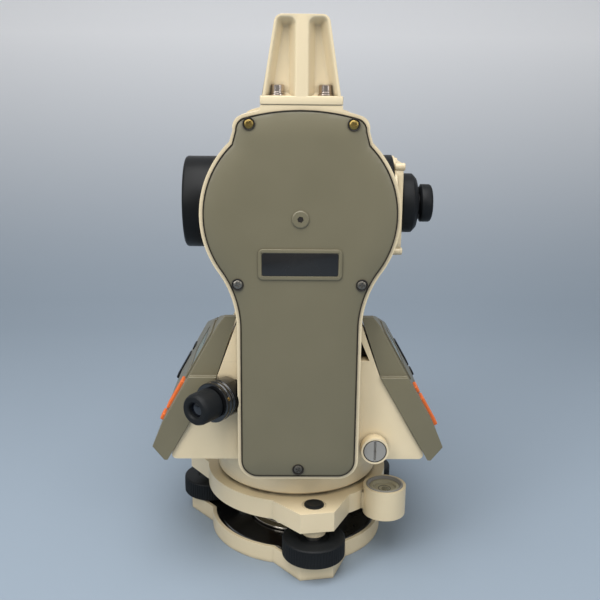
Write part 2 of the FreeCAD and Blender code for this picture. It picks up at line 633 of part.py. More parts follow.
def handle():
    floor = HANDLE_LOW + " + foot_tall"
    half = [("grip_half", HANDLE_TOP), ("leg_half", floor), ("foot_half", floor),
            ("foot_half", HANDLE_LOW)]
    solid = prism("XZ", both_sides(half), "2*" + HANDLE_REACH, y=HANDLE_REACH)
    solid = rounded(solid, "grip_round", lambda edge: along("Y")(edge)
                    and edge.BoundBox.ZMin > value(HANDLE_TOP) - 0.01)
    hand = block("4*foot_half", "2*" + HAND_REACH, HAND_TOP + " - trunnion_z - pad_rise + foot_tall",
                 "-2*foot_half", "-" + HAND_REACH, "trunnion_z + pad_rise - foot_tall")
    hand = rounded(hand, "hand_corner", lambda edge: along("X")(edge)
                   and edge.BoundBox.ZMin > value(HAND_TOP) - 0.01)
    tools = [hand]
    wide = "(leg_half - leg_wall)"
    narrow = "(grip_half - leg_wall)"
    for side in (1, -1):
        for end in (1, -1):
            corners = [("%d*rib_half" % side, floor), ("%d*%s" % (side, wide), floor),
                       ("%d*%s" % (side, narrow), HANDLE_TOP + " - pocket_roof"),
                       ("%d*rib_half" % side, HANDLE_TOP + " - pocket_roof")]
            start = "-(%s - pocket_deep)" % HANDLE_REACH if end < 0 else HANDLE_REACH + " + overcut"
            tools.append(prism("XZ", corners, "pocket_deep + overcut", y=start))
    tools += handle_bolts(lambda x, y: drum("bolt_radius", "2*bolt_length", x, y,
                                          "trunnion_z + pad_rise - bolt_length"))
    node(cut(solid, *tools), "carrying_handle")
    bolt = [("0", "0"), ("bolt_radius", "0"), ("bolt_radius", "bolt_length"),
            ("bolt_head", "bolt_length"), ("bolt_head", "bolt_length + bolt_head_tall"),
            ("0", "bolt_length + bolt_head_tall")]
    node(group(*handle_bolts(lambda x, y: lathe(bolt, x=x, y=y, z=floor + " - bolt_length"))),
         "handle_screws")


# ---------------------------------------------------------------- panels

def on_face(up, out=0):
    """A point up the panel's sloping face from its named point, and out of it."""
    return ("(face_x - (%s)*sin(tilt) + (%s)*cos(tilt))" % (up, out),
            "(face_z + (%s)*cos(tilt) + (%s)*sin(tilt))" % (up, out))


def panel_profile():
    gap = "panel_gap"
    return [("shoulder_x + " + gap, "panel_top_z"), ("kink_x + " + gap, "kink_z"),
            ("house_foot + " + gap, "toe_z"), ("toe_x", "toe_z"), ("nose_x", "nose_z"),
            on_face("-face_down"), on_face("face_up"), ("panel_top_x", "panel_top_z")]


def crest(end, drop="0"):
    """What is cut away above a panel: its top falls from one end to the ledge at the other."""
    above = block("far_out", "far_out", "far_out", "0", "-crest_y", "panel_top_z - " + drop)
    return to_side(turn(above, (1, 0, 0), "-crest_slope"), end)


def panel_case(side, name):
    upper = prism("XZ", panel_profile(), "2*panel_reach", y="panel_reach")
    lower = prism("XZ", panel_profile(), "2*ledge_reach", y="ledge_reach")
    above = block("far_out", "far_out", "far_out", "0", "-far_out/2", "ledge_z")
    window_y = "%d*window_y" % -side
    bezel = sloped_box("bezel_tall", "bezel_half", "bezel_low", "-overcut", "bezel_out + overcut",
                       window_y)
    solid = fuse(upper, cut(lower, above), cut(bezel, crest(-side, "bezel_edge")))
    scoop = drum("swing", "2*scoop_half", 0, "scoop_half", "trunnion_z", "-Y")
    window = sloped_box("window_tall + 2*key_gap", "window_half + key_gap",
                        "window_low - key_gap", "-(window_thick - window_sink)", "key_open",
                        window_y)
    wells = [key_box(key, "key_gap", "-(key_thick - key_proud + key_travel + key_gap)", "key_open")
             for key in KEYS.values()]
    case = cut(solid, crest(-side), scoop, window, *wells)
    node(across_x(case, side), name)


def sloped_box(tall, half, up, out, thick, y):
    """A box that lies on the right-hand panel's face: up and out are its lower, inner corner."""
    box = doc.addObject("Part::Box", "sloped_box")
    bind(box, Length=thick, Width="2*(%s)" % half, Height=tall)
    turn(box, (0, 1, 0), "-tilt")
    x, z = on_face(up, out)
    return place(box, x, "%s - (%s)" % (y, half), z)


KEYS = {
    "upper_left": ("-(left_keys_down + key_short)", "key_short", -1),
    "lower_left": ("-(left_keys_down + key_short + key_step + key_tall)", "key_tall", -1),
    "upper_right": ("-(right_keys_down + key_tall)", "key_tall", 1),
    "lower_right": ("-(right_keys_down + key_tall + key_step + key_short)", "key_short", 1),
}


def key_box(key, gap, out, thick):
    up, tall, way = key
    return sloped_box("%s + 2*%s" % (tall, gap), "key_wide/2 + " + gap, "%s - %s" % (up, gap),
                      out, thick, "%d*key_y" % way)


def across_x(thing, side):
    """Leaves a thing on +X, or turns it half round the vertical axis."""
    if side > 0:
        return thing
    copy = doc.addObject("Part::Compound", "turned_copy")
    copy.Links = [thing]
    copy.Placement.Rotation = Rotation(Vector(0, 0, 1), 180)
    return copy


def panel(side, hand):
    panel_case(side, "panel_case_" + hand)
    glass = sloped_box("window_tall", "window_half", "window_low", "-(window_thick - window_sink)",
                       "window_thick", "%d*window_y" % -side)
    node(across_x(glass, side), "display_window_" + hand)
    for name, key in KEYS.items():
        proud = "key_proud" if key[2] == -side else "dark_key_proud"
        sole = "-(key_thick - key_proud)"
        cap = key_box(key, "0", sole, "key_thick - key_proud + " + proud)
        node(across_x(cap, side), "key_%s_%s" % (hand, name))


# ---------------------------------------------------------------- telescope

def telescope():
    scope = drum("scope_radius", "scope_front + scope_back", "-scope_front", 0, "trunnion_z", "+X")
    hub = drum("hub_radius", "2*hub_half", 0, "hub_half", "trunnion_z", "-Y")
    bore = drum("scope_radius - scope_wall", "scope_front + scope_back - 2*scope_wall",
                "-(scope_front - scope_wall)", 0, "trunnion_z", "+X")
    shafts = drum("shaft_radius", "4*hub_half", 0, "2*hub_half", "trunnion_z", "-Y")
    sight_base = block("sight_long", "2*sight_half", "sight_foot", "-sight_long/2", "-sight_half",
                       "trunnion_z + scope_radius - sight_lap")
    node(cut(fuse(scope, hub, sight_base), bore, shafts), "telescope_body")
    tube = [("barrel_radius - barrel_wall", "0"), ("barrel_radius", "0"),
            ("barrel_radius", "barrel_front - scope_front"),
            ("barrel_radius - barrel_wall", "barrel_front - scope_front")]
    node(lathe(tube, "-X", x="-scope_front", z="trunnion_z"), "objective_barrel")
    node(drum("barrel_radius - barrel_wall", "lens_thick",
              "-(barrel_front - lens_sink)", 0, "trunnion_z", "+X"), "objective_lens")
    plate = block("back_thick", "2*back_half", "back_up + back_down", "scope_back", "-back_half",
                  "trunnion_z - back_down")
    plate = rounded(plate, "back_corner", along("X"))
    node(cut(plate, drum("core_radius", "back_thick + 2*overcut", "scope_back - overcut", 0,
                         "trunnion_z", "+X")),
         "rear_flange")
    end = "(eyering_start + eyering_long)"
    node(lathe([("0", "0"), ("core_radius", "0"), ("core_radius", "eyering_start - scope_back - tube_gap"),
                ("ocular_radius + ocular_wall", "eyering_start - scope_back - tube_gap"),
                ("ocular_radius + ocular_wall", end + " - scope_back - ocular_rim"),
                ("ocular_radius", end + " - scope_back - ocular_rim"),
                ("ocular_radius", end + " - scope_back - ocular_deep"),
                ("0", end + " - scope_back - ocular_deep")],
               "+X", x="scope_back", z="trunnion_z"), "eyepiece_tube")
    node(drum("ocular_radius", "ocular_thick", end + " - ocular_deep", 0, "trunnion_z", "+X"),
         "eyepiece_lens")
    node(lathe([("core_radius + run_gap", "0"), ("focus_radius", "0"),
                ("focus_radius", "focus_long - focus_bevel"),
                ("focus_radius - focus_slope", "focus_long"), ("core_radius + run_gap", "focus_long")],
               "+X", x="focus_start", z="trunnion_z"), "focus_ring")
    eye_bore = "(ocular_radius + ocular_wall + run_gap)"
    node(lathe([(eye_bore, "0"), ("eyering_radius - eyering_bevel", "0"),
                ("eyering_radius", "eyering_bevel"),
                ("eyering_radius", "eyering_long - eyering_bevel"),
                ("eyering_radius - eyering_bevel", "eyering_long"),
                (eye_bore, "eyering_long")], "+X", x="eyering_start", z="trunnion_z"), "eyepiece_ring")
    sight = block("sight_long", "2*sight_half", "sight_tall", "-sight_long/2", "-sight_half",
                  "trunnion_z + scope_radius - sight_lap + sight_foot")
    node(rounded(sight, "sight_round", along("X")), "finder_sight")


def trunnion():
    length = "(shaft_end - (hub_radius - shaft_lap))"
    shafts = [drum("shaft_radius", length, 0, "%d*(hub_radius - shaft_lap)" % side, "trunnion_z", way)
              for side, way in ((1, "+Y"), (-1, "-Y"))]
    node(group(*shafts), "trunnion_shafts")
    ring = [("shaft_radius + run_gap", "bearing_start"), ("shaft_radius + bearing_wall", "bearing_start"),
            ("shaft_radius + bearing_wall", "bearing_end"), ("shaft_radius + run_gap", "bearing_end")]
    node(group(lathe(ring, "+Y", z="trunnion_z"), lathe(ring, "-Y", z="trunnion_z")),
         "trunnion_bearings")
    disc = drum("glass_circle", "circle_thick", 0, "-glass_y", "trunnion_z", "-Y")
    node(cut(disc, drum("shaft_radius", "2*circle_thick + overcut", 0, "-(glass_y - overcut)",
                        "trunnion_z", "-Y")), "vertical_circle")


# ---------------------------------------------------------------- far side

def battery():
    pack = block("2*battery_half", "battery_out", "battery_tall", "-battery_half",
                 "cover_front + battery_gap", "battery_low")
    node(rounded(pack, "battery_round", lambda edge: not along("Y")(edge)
                 and edge.BoundBox.YMin > value("cover_front + battery_gap + battery_out") - 0.01),
         "battery_pack")


def drive_knob(name, x, y, z, radius, length):
    """A tangent screw's knob on its stem, pointing along +Y."""
    node(lathe([("0", "-stem_in"), ("stem_radius", "-stem_in"), ("stem_radius", "stem_out"),
                (radius + " - drive_bevel", "stem_out"), (radius, "stem_out + drive_bevel"),
                (radius, "stem_out + %s - drive_bevel" % length),
                (radius + " - drive_bevel", "stem_out + " + length),
                ("0", "stem_out + " + length)], "+Y", x=x, y=y, z=z), name)


def clamp_knob(name, x, y, z, way):
    """A clamp knob: a short drum with a lever that points along +X or -X."""
    body = lathe([("0", "-stem_in"), ("stem_radius", "-stem_in"), ("stem_radius", "stem_out"),
                  ("clamp_radius", "stem_out"), ("clamp_radius", "stem_out + clamp_long"),
                  ("0", "stem_out + clamp_long")], "+Y", x=x, y=y, z=z)
    reach = "(clamp_radius + lever_long)"
    start = x if way > 0 else "%s - %s" % (x, reach)
    lever = block(reach, "clamp_long - 2*lever_inset", "lever_thick", start,
                  "%s + stem_out + lever_inset" % y,
                  "%s - lever_thick/2" % z)
    lever = rounded(lever, "lever_round", along("Y"))
    node(fuse(body, lever), name)


def check(thing):
    bad = [word for word in ("Invalid", "Error") if word in thing.State]
    if bad or not hasattr(thing, "Shape"):
        return bad
    if thing.Shape.isNull() or not thing.Shape.isValid():
        bad.append("bad shape")
    return bad


tribrach_base()
for lobe, degrees in LOBES.items():
    foot_screw(lobe, degrees)
levelling_head()
base_flange()
lower_housing()
optical_plummet()
standard(-1, "circle_side_standard")
standard(1, "far_side_standard")
cover(-1, "circle_cover")
cover(1, "far_cover")
cover_screws(-1, "circle_cover_screws")
circle_side_fittings()
handle()
panel(1, "right")
panel(-1, "left")
telescope()
trunnion()
battery()
drive_knob("vertical_tangent_knob", "high_drive_x", "cover_front", "high_drive_z", "drive_radius",
           "drive_long")
clamp_knob("vertical_clamp_knob", "-high_drive_x", "cover_front", "high_drive_z", 1)
drive_knob("horizontal_tangent_knob", "drive_x", "house_depth", "drive_z", "drive_radius",
           "drive_long")
clamp_knob("horizontal_clamp_knob", "-drive_x", "house_depth", "drive_z", -1)

doc.recompute()
faults = ["%s (%s): %s" % (thing.Label, thing.Name, check(thing)) for thing in doc.Objects
          if check(thing)]
if faults:
    raise RuntimeError("\n".join(faults))
os.makedirs("parts", exist_ok=True)
for thing in nodes:
    thing.Shape.exportStep("parts/%s.step" % thing.Label)
    box = thing.Shape.BoundBox
    print("%-26s %d solids %9.0f mm3  x %.1f %.1f  y %.1f %.1f  z %.1f %.1f" % (
        thing.Label, len(thing.Shape.Solids), thing.Shape.Volume, box.XMin, box.XMax, box.YMin,
        box.YMax, box.ZMin, box.ZMax))
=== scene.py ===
import json
import math
import bmesh
import bpy
from mathutils import Matrix, Vector


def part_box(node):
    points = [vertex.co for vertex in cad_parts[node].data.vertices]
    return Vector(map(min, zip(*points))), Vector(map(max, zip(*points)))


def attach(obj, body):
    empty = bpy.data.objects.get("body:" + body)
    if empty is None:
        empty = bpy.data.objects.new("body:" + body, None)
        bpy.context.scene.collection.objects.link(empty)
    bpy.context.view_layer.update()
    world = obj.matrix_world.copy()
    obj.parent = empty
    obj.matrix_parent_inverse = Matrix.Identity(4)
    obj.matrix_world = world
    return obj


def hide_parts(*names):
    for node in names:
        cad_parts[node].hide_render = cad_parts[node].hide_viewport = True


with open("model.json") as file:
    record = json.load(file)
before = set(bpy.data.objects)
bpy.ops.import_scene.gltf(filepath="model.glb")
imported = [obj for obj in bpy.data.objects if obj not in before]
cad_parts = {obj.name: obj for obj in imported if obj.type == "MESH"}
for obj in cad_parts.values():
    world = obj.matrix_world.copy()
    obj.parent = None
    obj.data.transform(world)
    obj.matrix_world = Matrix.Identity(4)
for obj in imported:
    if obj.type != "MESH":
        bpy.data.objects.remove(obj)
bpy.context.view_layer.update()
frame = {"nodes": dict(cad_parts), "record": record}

mm = 0.001
trunnion = 229.6  # height of the telescope's axis in millimetres
nodeBody = {node: body for body, nodes in frame["record"]["behaviour"]["bodies"].items() for node in nodes}
nodeSlot = {part["node"]: part["material_slot"] for part in frame["record"]["subparts"]}
white = (1, 1, 1, 1)


def tone(red, green, blue):
    channels = [value / 255 for value in (red, green, blue)]
    return tuple(c / 12.92 if c < 0.04 else ((c + 0.055) / 1.055) ** 2.4 for c in channels) + (1,)


def newGroup(name, inputs, outputs):
    # a socket is a colour where its default is a tuple, and a plain value elsewhere
    group = bpy.data.node_groups.new(name, "ShaderNodeTree")
    for way, sockets in (("INPUT", inputs), ("OUTPUT", outputs)):
        for label, default in sockets.items():
            kind = "NodeSocketColor" if isinstance(default, tuple) else "NodeSocketFloat"
            group.interface.new_socket(label, in_out=way, socket_type=kind).default_value = default
    return group, group.nodes.new("NodeGroupInput"), group.nodes.new("NodeGroupOutput")


def feed(tree, socket, given):
    # a socket takes either a value or another node's output
    if isinstance(given, bpy.types.NodeSocket):
        tree.links.new(given, socket)
    else:
        socket.default_value = given


def objectNoise(tree, scale, detail):
    place = tree.nodes.new("ShaderNodeTexCoord")
    noise = tree.nodes.new("ShaderNodeTexNoise")
    noise.inputs["Detail"].default_value = detail
    tree.links.new(place.outputs["Object"], noise.inputs["Vector"])
    feed(tree, noise.inputs["Scale"], scale)
    return noise.outputs["Fac"]


def remap(tree, value, fromLow, fromHigh, toLow, toHigh):
    node = tree.nodes.new("ShaderNodeMapRange")
    for label, given in (("Value", value), ("From Min", fromLow), ("From Max", fromHigh),
                         ("To Min", toLow), ("To Max", toHigh)):
        feed(tree, node.inputs[label], given)
    return node.outputs["Result"]


def blendColors(tree, amount, first, second):
    # a mix node's colours are its inputs 6 and 7, and its output 2
    node = tree.nodes.new("ShaderNodeMix")
    node.data_type = "RGBA"
    for index, given in ((0, amount), (6, first), (7, second)):
        feed(tree, node.inputs[index], given)
    return node.outputs[2]


def makeGrainGroup():
    # soft patches in a coat's colour and roughness, and a fine grain for its height
    grain = {"patchScale": 22, "patchDetail": 4, "patchEdge": (0.35, 0.75), "roughEdge": (0.3, 0.7),
             "detail": 2}
    group, given, out = newGroup(
        "surfaceGrain", {"Color": white, "Patch Color": white, "Patchiness": 0.3, "Grain Scale": 2500.0,
                         "Rough Low": 0.4, "Rough High": 0.5},
        {"Color": white, "Roughness": 0.5, "Height": 0.5})
    patches = objectNoise(group, grain["patchScale"], grain["patchDetail"])
    patchAmount = remap(group, patches, *grain["patchEdge"], 0.0, given.outputs["Patchiness"])
    color = blendColors(group, patchAmount, given.outputs["Color"], given.outputs["Patch Color"])
    height = objectNoise(group, given.outputs["Grain Scale"], grain["detail"])
    rough = remap(group, patches, *grain["roughEdge"], given.outputs["Rough Low"],
                  given.outputs["Rough High"])
    group.links.new(color, out.inputs["Color"])
    group.links.new(rough, out.inputs["Roughness"])
    group.links.new(height, out.inputs["Height"])
    return group


def makeGrimeShadeGroup():
    # dust and handling soiling where two surfaces meet, together with painted shade: ambient occlusion
    # darkens the colour in seams and corners
    grimeAndShade = {"samples": 4, "mottleScale": 140, "mottleDetail": 3, "mottleEdge": (0.3, 0.7),
             "mottleLow": 0.5, "corner": (0.35, 0.9)}
    group, given, out = newGroup(
        "seamGrimeAndShade", {"Color": white, "Grime Color": white, "Amount": 0.5, "Reach": 0.003},
        {"Color": white})
    # painted shade: the ambient occlusion value darkens the colour where surfaces meet, as shade would
    shade = group.nodes.new("ShaderNodeAmbientOcclusion")
    shade.samples = grimeAndShade["samples"]
    group.links.new(given.outputs["Reach"], shade.inputs["Distance"])
    noise = objectNoise(group, grimeAndShade["mottleScale"], grimeAndShade["mottleDetail"])
    mottle = remap(group, noise, *grimeAndShade["mottleEdge"], grimeAndShade["mottleLow"], 1.0)
    # painted shade: close to a neighbouring surface the colour is mixed towards the seam colour
    corner = remap(group, shade.outputs["AO"], *grimeAndShade["corner"], given.outputs["Amount"], 0.0)
    product = group.nodes.new("ShaderNodeMath")
    product.operation = "MULTIPLY"
    group.links.new(mottle, product.inputs[0])
    group.links.new(corner, product.inputs[1])
    color = blendColors(group, product.outputs[0], given.outputs["Color"], given.outputs["Grime Color"])
    group.links.new(color, out.inputs["Color"])
    return group


grainGroup = makeGrainGroup()
grimeShadeGroup = makeGrimeShadeGroup()


def useGroup(tree, group, **values):
    node = tree.nodes.new("ShaderNodeGroup")
    node.node_tree = group
    for label, given in values.items():
        feed(tree, node.inputs[label.replace("_", " ")], given)
    return node


def surface(name, color, patch, patchiness, grain, rough, bump, grimeAndShade=0.0, **shader):
    # one finish: a coat with patches and grain, and soiling with painted shade in its seams
    # the seam colour stands for brown soiling and painted shade together
    dirtAndShade = {"color": tone(70, 60, 44), "reach": 0.0025}
    relief = {"strength": 0.6}
    material = bpy.data.materials.new(name)
    material.use_nodes = True
    tree = material.node_tree
    principled = tree.nodes["Principled BSDF"]
    coat = useGroup(tree, grainGroup, Color=color, Patch_Color=patch, Patchiness=patchiness,
                    Grain_Scale=grain, Rough_Low=rough[0], Rough_High=rough[1])
    top = coat.outputs["Color"]
    if grimeAndShade:
        shadedAndDirty = useGroup(tree, grimeShadeGroup, Color=top, Grime_Color=dirtAndShade["color"], Amount=grimeAndShade,
                         Reach=dirtAndShade["reach"])
        top = shadedAndDirty.outputs["Color"]
    tree.links.new(top, principled.inputs["Base Color"])
    tree.links.new(coat.outputs["Roughness"], principled.inputs["Roughness"])
    bumps = tree.nodes.new("ShaderNodeBump")
    bumps.inputs["Strength"].default_value = relief["strength"]
    bumps.inputs["Distance"].default_value = bump
    tree.links.new(coat.outputs["Height"], bumps.inputs["Height"])
    tree.links.new(bumps.outputs["Normal"], principled.inputs["Normal"])
    for label, value in shader.items():
        principled.inputs[label.replace("_", " ")].default_value = value
    return material


# a finish's eighth value sets how much soiling and painted shade darken its seams
finishes = {
    "cream_paint": surface("creamEnamel", tone(226, 209, 174), tone(208, 190, 153), 0.45, 1400,
                           (0.32, 0.46), 0.00003, 0.8, Coat_Weight=0.15, Coat_Roughness=0.3),
    "olive_plastic": surface("oliveSatin", tone(110, 104, 82), tone(120, 113, 90), 0.5, 5200,
                             (0.3, 0.4), 0.00005, 0.6),
    "black_lining": surface("glossBlack", tone(16, 16, 17), tone(42, 38, 30), 0.35, 900,
                            (0.12, 0.34), 0.00001, Coat_Weight=0.3, Coat_Roughness=0.12),
    "black_gloss": surface("blackLacquer", tone(13, 14, 15), tone(22, 22, 22), 0.35, 900,
                           (0.1, 0.2), 0.00001, Coat_Weight=0.6, Coat_Roughness=0.06),
    "black_knob": surface("blackKnob", tone(20, 22, 24), tone(32, 34, 35), 0.4, 3500,
                          (0.42, 0.56), 0.00005, Specular_IOR_Level=0.2),
    "black_metal": surface("blackAnodised", tone(18, 19, 20), tone(28, 29, 30), 0.35, 4200,
                           (0.34, 0.48), 0.00002, Specular_IOR_Level=0.16),
    # painted shade: a dark brown-black for gaps, socket bottoms and the notch, where shade falls
    "painted_dark_shade": surface("darkGasket", tone(24, 19, 14), tone(40, 32, 24), 0.4, 2000,
                           (0.6, 0.8), 0.00002),
    "steel": surface("turnedSteel", tone(176, 174, 170), tone(120, 108, 92), 0.5, 2600, (0.24, 0.4),
                     0.00001, Metallic=1.0),
    "dark_steel": surface("blackenedSteel", tone(132, 128, 120), tone(56, 48, 38), 0.8, 1400,
                          (0.28, 0.45), 0.00002, Metallic=0.9),
    "bolt_steel": surface("nickelBolt", tone(206, 196, 188), tone(128, 104, 84), 0.7, 900,
                          (0.14, 0.26), 0.00001, Metallic=1.0),
    "chrome": surface("brightPlate", tone(205, 200, 190), tone(164, 140, 104), 0.5, 900,
                      (0.08, 0.18), 0.000004, Metallic=1.0),
    "brass": surface("turnedBrass", tone(190, 152, 84), tone(140, 104, 54), 0.4, 1800, (0.25, 0.4),
                     0.00001, Metallic=1.0),
    "bronze": surface("bearingBronze", tone(160, 124, 80), tone(112, 84, 52), 0.4, 1800,
                      (0.3, 0.45), 0.00001, Metallic=1.0),
    "zinc": surface("zincPlate", tone(184, 158, 92), tone(84, 68, 40), 0.8, 900, (0.25, 0.42),
                    0.00001, Metallic=1.0),
    "grey_cap": surface("greyCap", tone(148, 146, 141), tone(122, 119, 114), 0.6, 3800,
                        (0.5, 0.64), 0.00003, 0.6),
    "orange_key": surface("orangeRubber", tone(232, 112, 44), tone(214, 98, 40), 0.4, 4200,
                          (0.48, 0.6), 0.00004, 0.3),
    "circle_glass": surface("graduatedGlass", tone(190, 200, 198), tone(160, 172, 170), 0.3, 600,
                            (0.04, 0.1), 0.000002, Transmission_Weight=0.6),
    "vial": surface("vialGlass", tone(226, 226, 206), tone(214, 214, 190), 0.3, 400,
                    (0.02, 0.06), 0.000002, Transmission_Weight=0.9, IOR=1.45),
    "pale_cell": surface("paleCell", tone(176, 170, 146), tone(150, 142, 116), 0.6, 700,
                         (0.12, 0.25), 0.000004, 0.6, Coat_Weight=0.4, Coat_Roughness=0.05),
    "optics": surface("coatedLens", tone(20, 17, 30), tone(14, 22, 26), 0.8, 300,
                      (0.02, 0.05), 0.000001, Coat_Weight=0.6, Coat_Roughness=0.02),
    "lcd": surface("lcdPlate", tone(112, 118, 94), tone(102, 108, 86), 0.4, 900, (0.16, 0.26),
                   0.000001),
    "display": surface("displayWindow", tone(44, 48, 42), tone(56, 60, 50), 0.3, 900,
                       (0.12, 0.2), 0.000001),
}


def dress(obj, slotName):
    obj.data.materials.clear()
    obj.data.materials.append(finishes[slotName])


for nodeName, obj in frame["nodes"].items():
    dress(obj, nodeSlot[nodeName])
print("surfaces made")


def keepPiece(name, bm, replaced, slotName=None, smoothAngle=32, body=None, closed=True):
    # turns a finished bmesh into a piece that stands for CAD nodes
    if closed:
        bmesh.ops.recalc_face_normals(bm, faces=bm.faces)
    mesh = bpy.data.meshes.new(name)
    bm.to_mesh(mesh)
    bm.free()
    mesh.shade_smooth()
    mesh.set_sharp_from_angle(angle=math.radians(smoothAngle))
    piece = bpy.data.objects.new(name, mesh)
    bpy.context.scene.collection.objects.link(piece)
    slotName = slotName or nodeSlot[replaced[0]]
    mesh.materials.append(finishes[slotName])
    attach(piece, body or nodeBody[replaced[0]])
    if replaced:
        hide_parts(*replaced)
    return piece


def edgeAngle(edge):
    return edge.calc_face_angle(0) if len(edge.link_faces) == 2 else 0


def bevelEdges(bm, edges, width, segments):
    bmesh.ops.bevel(bm, geom=edges, offset=width, offset_type="OFFSET", segments=segments, profile=0.5,
                    affect="EDGES", material=-1, clamp_overlap=True, loop_slide=True)


def sharpEdges(bm, degrees=25):
    return [edge for edge in bm.edges if edgeAngle(edge) > math.radians(degrees)]


def turned(profile, steps=96):
    # a closed turned shape about Z from (radius, height) in millimetres
    bm = bmesh.new()
    verts = [bm.verts.new((radius * mm, 0, height * mm)) for radius, height in profile]
    edges = [bm.edges.new(pair) for pair in zip(verts, verts[1:] + verts[:1])
             if pair[0].co.x > 1e-7 or pair[1].co.x > 1e-7]
    bmesh.ops.spin(bm, geom=verts + edges, cent=(0, 0, 0), axis=(0, 0, 1), dvec=(0, 0, 0),
                   angle=math.tau, steps=steps, use_merge=True, use_duplicate=False)
    bmesh.ops.remove_doubles(bm, verts=bm.verts, dist=1e-7)
    bmesh.ops.recalc_face_normals(bm, faces=bm.faces)
    return bm


def rings(bm, degrees=25):
    # the sharp edges that run round a turned shape
    def level(edge):
        a, b = (v.co for v in edge.verts)
        sameRadius = abs(a.xy.length - b.xy.length) < 2e-5
        return sameRadius and abs(a.z - b.z) < 1e-6 and a.xy.length > 1e-5
    return [edge for edge in sharpEdges(bm, degrees) if level(edge)]


def soften(bm, width, segments=3, degrees=25):
    bevelEdges(bm, rings(bm, degrees), width * mm, segments)


def rib(bm, radius, count, depth, low=-1e9, high=1e9):
    # presses narrow valleys into a turned shape's rim
    for vert in bm.verts:
        around = vert.co.xy.length
        if around < (radius - depth * 0.9) * mm or not low * mm < vert.co.z < high * mm:
            continue
        turn = (math.atan2(vert.co.y, vert.co.x) / math.tau * count) % 1
        if 0.3 < turn < 0.8:
            vert.co.xy *= (around - depth * mm) / around


def ribbed(profile, ribs):
    # a turned shape with a knurled rim: ribs are its radius, count, depth, low and high ends
    bm = turned(profile, ribs[1] * 4)
    rib(bm, *ribs)
    return bm


def flatRows(outer, step, count, height):
    # a flat face in close rings, so that a slot or a socket can be pressed into it
    return [(outer - step * number, height) for number in range(1, count)] + [(0, height)]


def aim(bm, point, direction):
    # puts a turned shape's Z along a direction, at a point
    turn = Vector(direction).to_track_quat("Z", "Y").to_matrix().to_4x4()
    bmesh.ops.transform(bm, matrix=Matrix.Translation(point) @ turn, verts=bm.verts)
    return bm


def join(bm, other):
    # adds one bmesh's faces to another
    mesh = bpy.data.meshes.new("joined")
    other.to_mesh(mesh)
    other.free()
    bm.from_mesh(mesh)
    bpy.data.meshes.remove(mesh)
    return bm


def copyNode(node):
    bm = bmesh.new()
    bm.from_mesh(frame["nodes"][node].data)
    bmesh.ops.remove_doubles(bm, verts=bm.verts, dist=2e-6)
    bmesh.ops.dissolve_limit(bm, angle_limit=math.radians(0.6), verts=bm.verts, edges=bm.edges,
                             use_dissolve_boundaries=False, delimit=set())
    return bm


def softCopy(node, width, segments=3, picks=()):
    # the CAD shape with its edges rounded: picks are (test, width) for edges rounded first
    bm = copyNode(node)
    for test, wide in picks:
        edges = [edge for edge in sharpEdges(bm, 20) if test(edge)]
        bevelEdges(bm, edges, wide * mm, 5)
    return roundOff(keepPiece(node + "Skin", bm, [node], closed=False), width, segments)


def roundOff(piece, width, segments=3):
    rounding = piece.modifiers.new("rounding", "BEVEL")
    rounding.width = width * mm
    rounding.segments = segments
    rounding.limit_method = "ANGLE"
    rounding.angle_limit = math.radians(28)
    rounding.harden_normals = True
    rounding.use_clamp_overlap = True
    return piece


def middle(node):
    low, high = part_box(node)
    return (low + high) / 2


def extent(node):
    low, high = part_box(node)
    return (high - low) / mm


def outerLoop(node, axis, sign):
    # the longest outline of a node's end face, in order
    bm = copyNode(node)
    low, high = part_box(node)
    level = (low if sign < 0 else high)[axis]
    flat = [face for face in bm.faces if all(abs(v.co[axis] - level) < 2e-5 for v in face.verts)]
    links = {}
    for face in flat:
        for edge in face.edges:
            if sum(other in flat for other in edge.link_faces) == 1:
                for a, b in (edge.verts, reversed(edge.verts)):
                    links.setdefault(a, []).append(b)
    loops = []
    while links:
        first = next(iter(links))
        loop, here, last = [], first, None
        while here in links:
            loop.append(here.co.copy())
            steps = [v for v in links.pop(here) if v is not last and v in links]
            last = here
            if not steps:
                break
            here = steps[0]
        loops.append(loop)
    bm.free()
    return max(loops, key=lambda points: sum((a - b).length for a, b in zip(points, points[1:])))


def extruded(bm, edges, shift):
    # draws edges out into walls
    made = bmesh.ops.extrude_edge_only(bm, edges=edges)
    moved = [item for item in made["geom"] if isinstance(item, bmesh.types.BMVert)]
    bmesh.ops.translate(bm, vec=shift, verts=moved)


def facesAt(bm, level):
    # the faces that lie flat at a level of y
    return [face for face in bm.faces if all(abs(v.co.y - level) < 1e-6 for v in face.verts)]


def splitFaces(bm, faces, point, normal):
    # cuts these faces, and nothing else, along a plane
    edges = dict.fromkeys(edge for face in faces for edge in face.edges)
    verts = dict.fromkeys(vert for face in faces for vert in face.verts)
    bmesh.ops.bisect_plane(bm, geom=[*faces, *edges, *verts], dist=1e-6, plane_co=point, plane_no=normal)


def trim(bm, point, normal):
    # removes what lies on the normal's side of a plane
    bmesh.ops.bisect_plane(bm, geom=bm.verts[:] + bm.edges[:] + bm.faces[:], dist=1e-6,
                           plane_co=point, plane_no=normal, clear_outer=True)


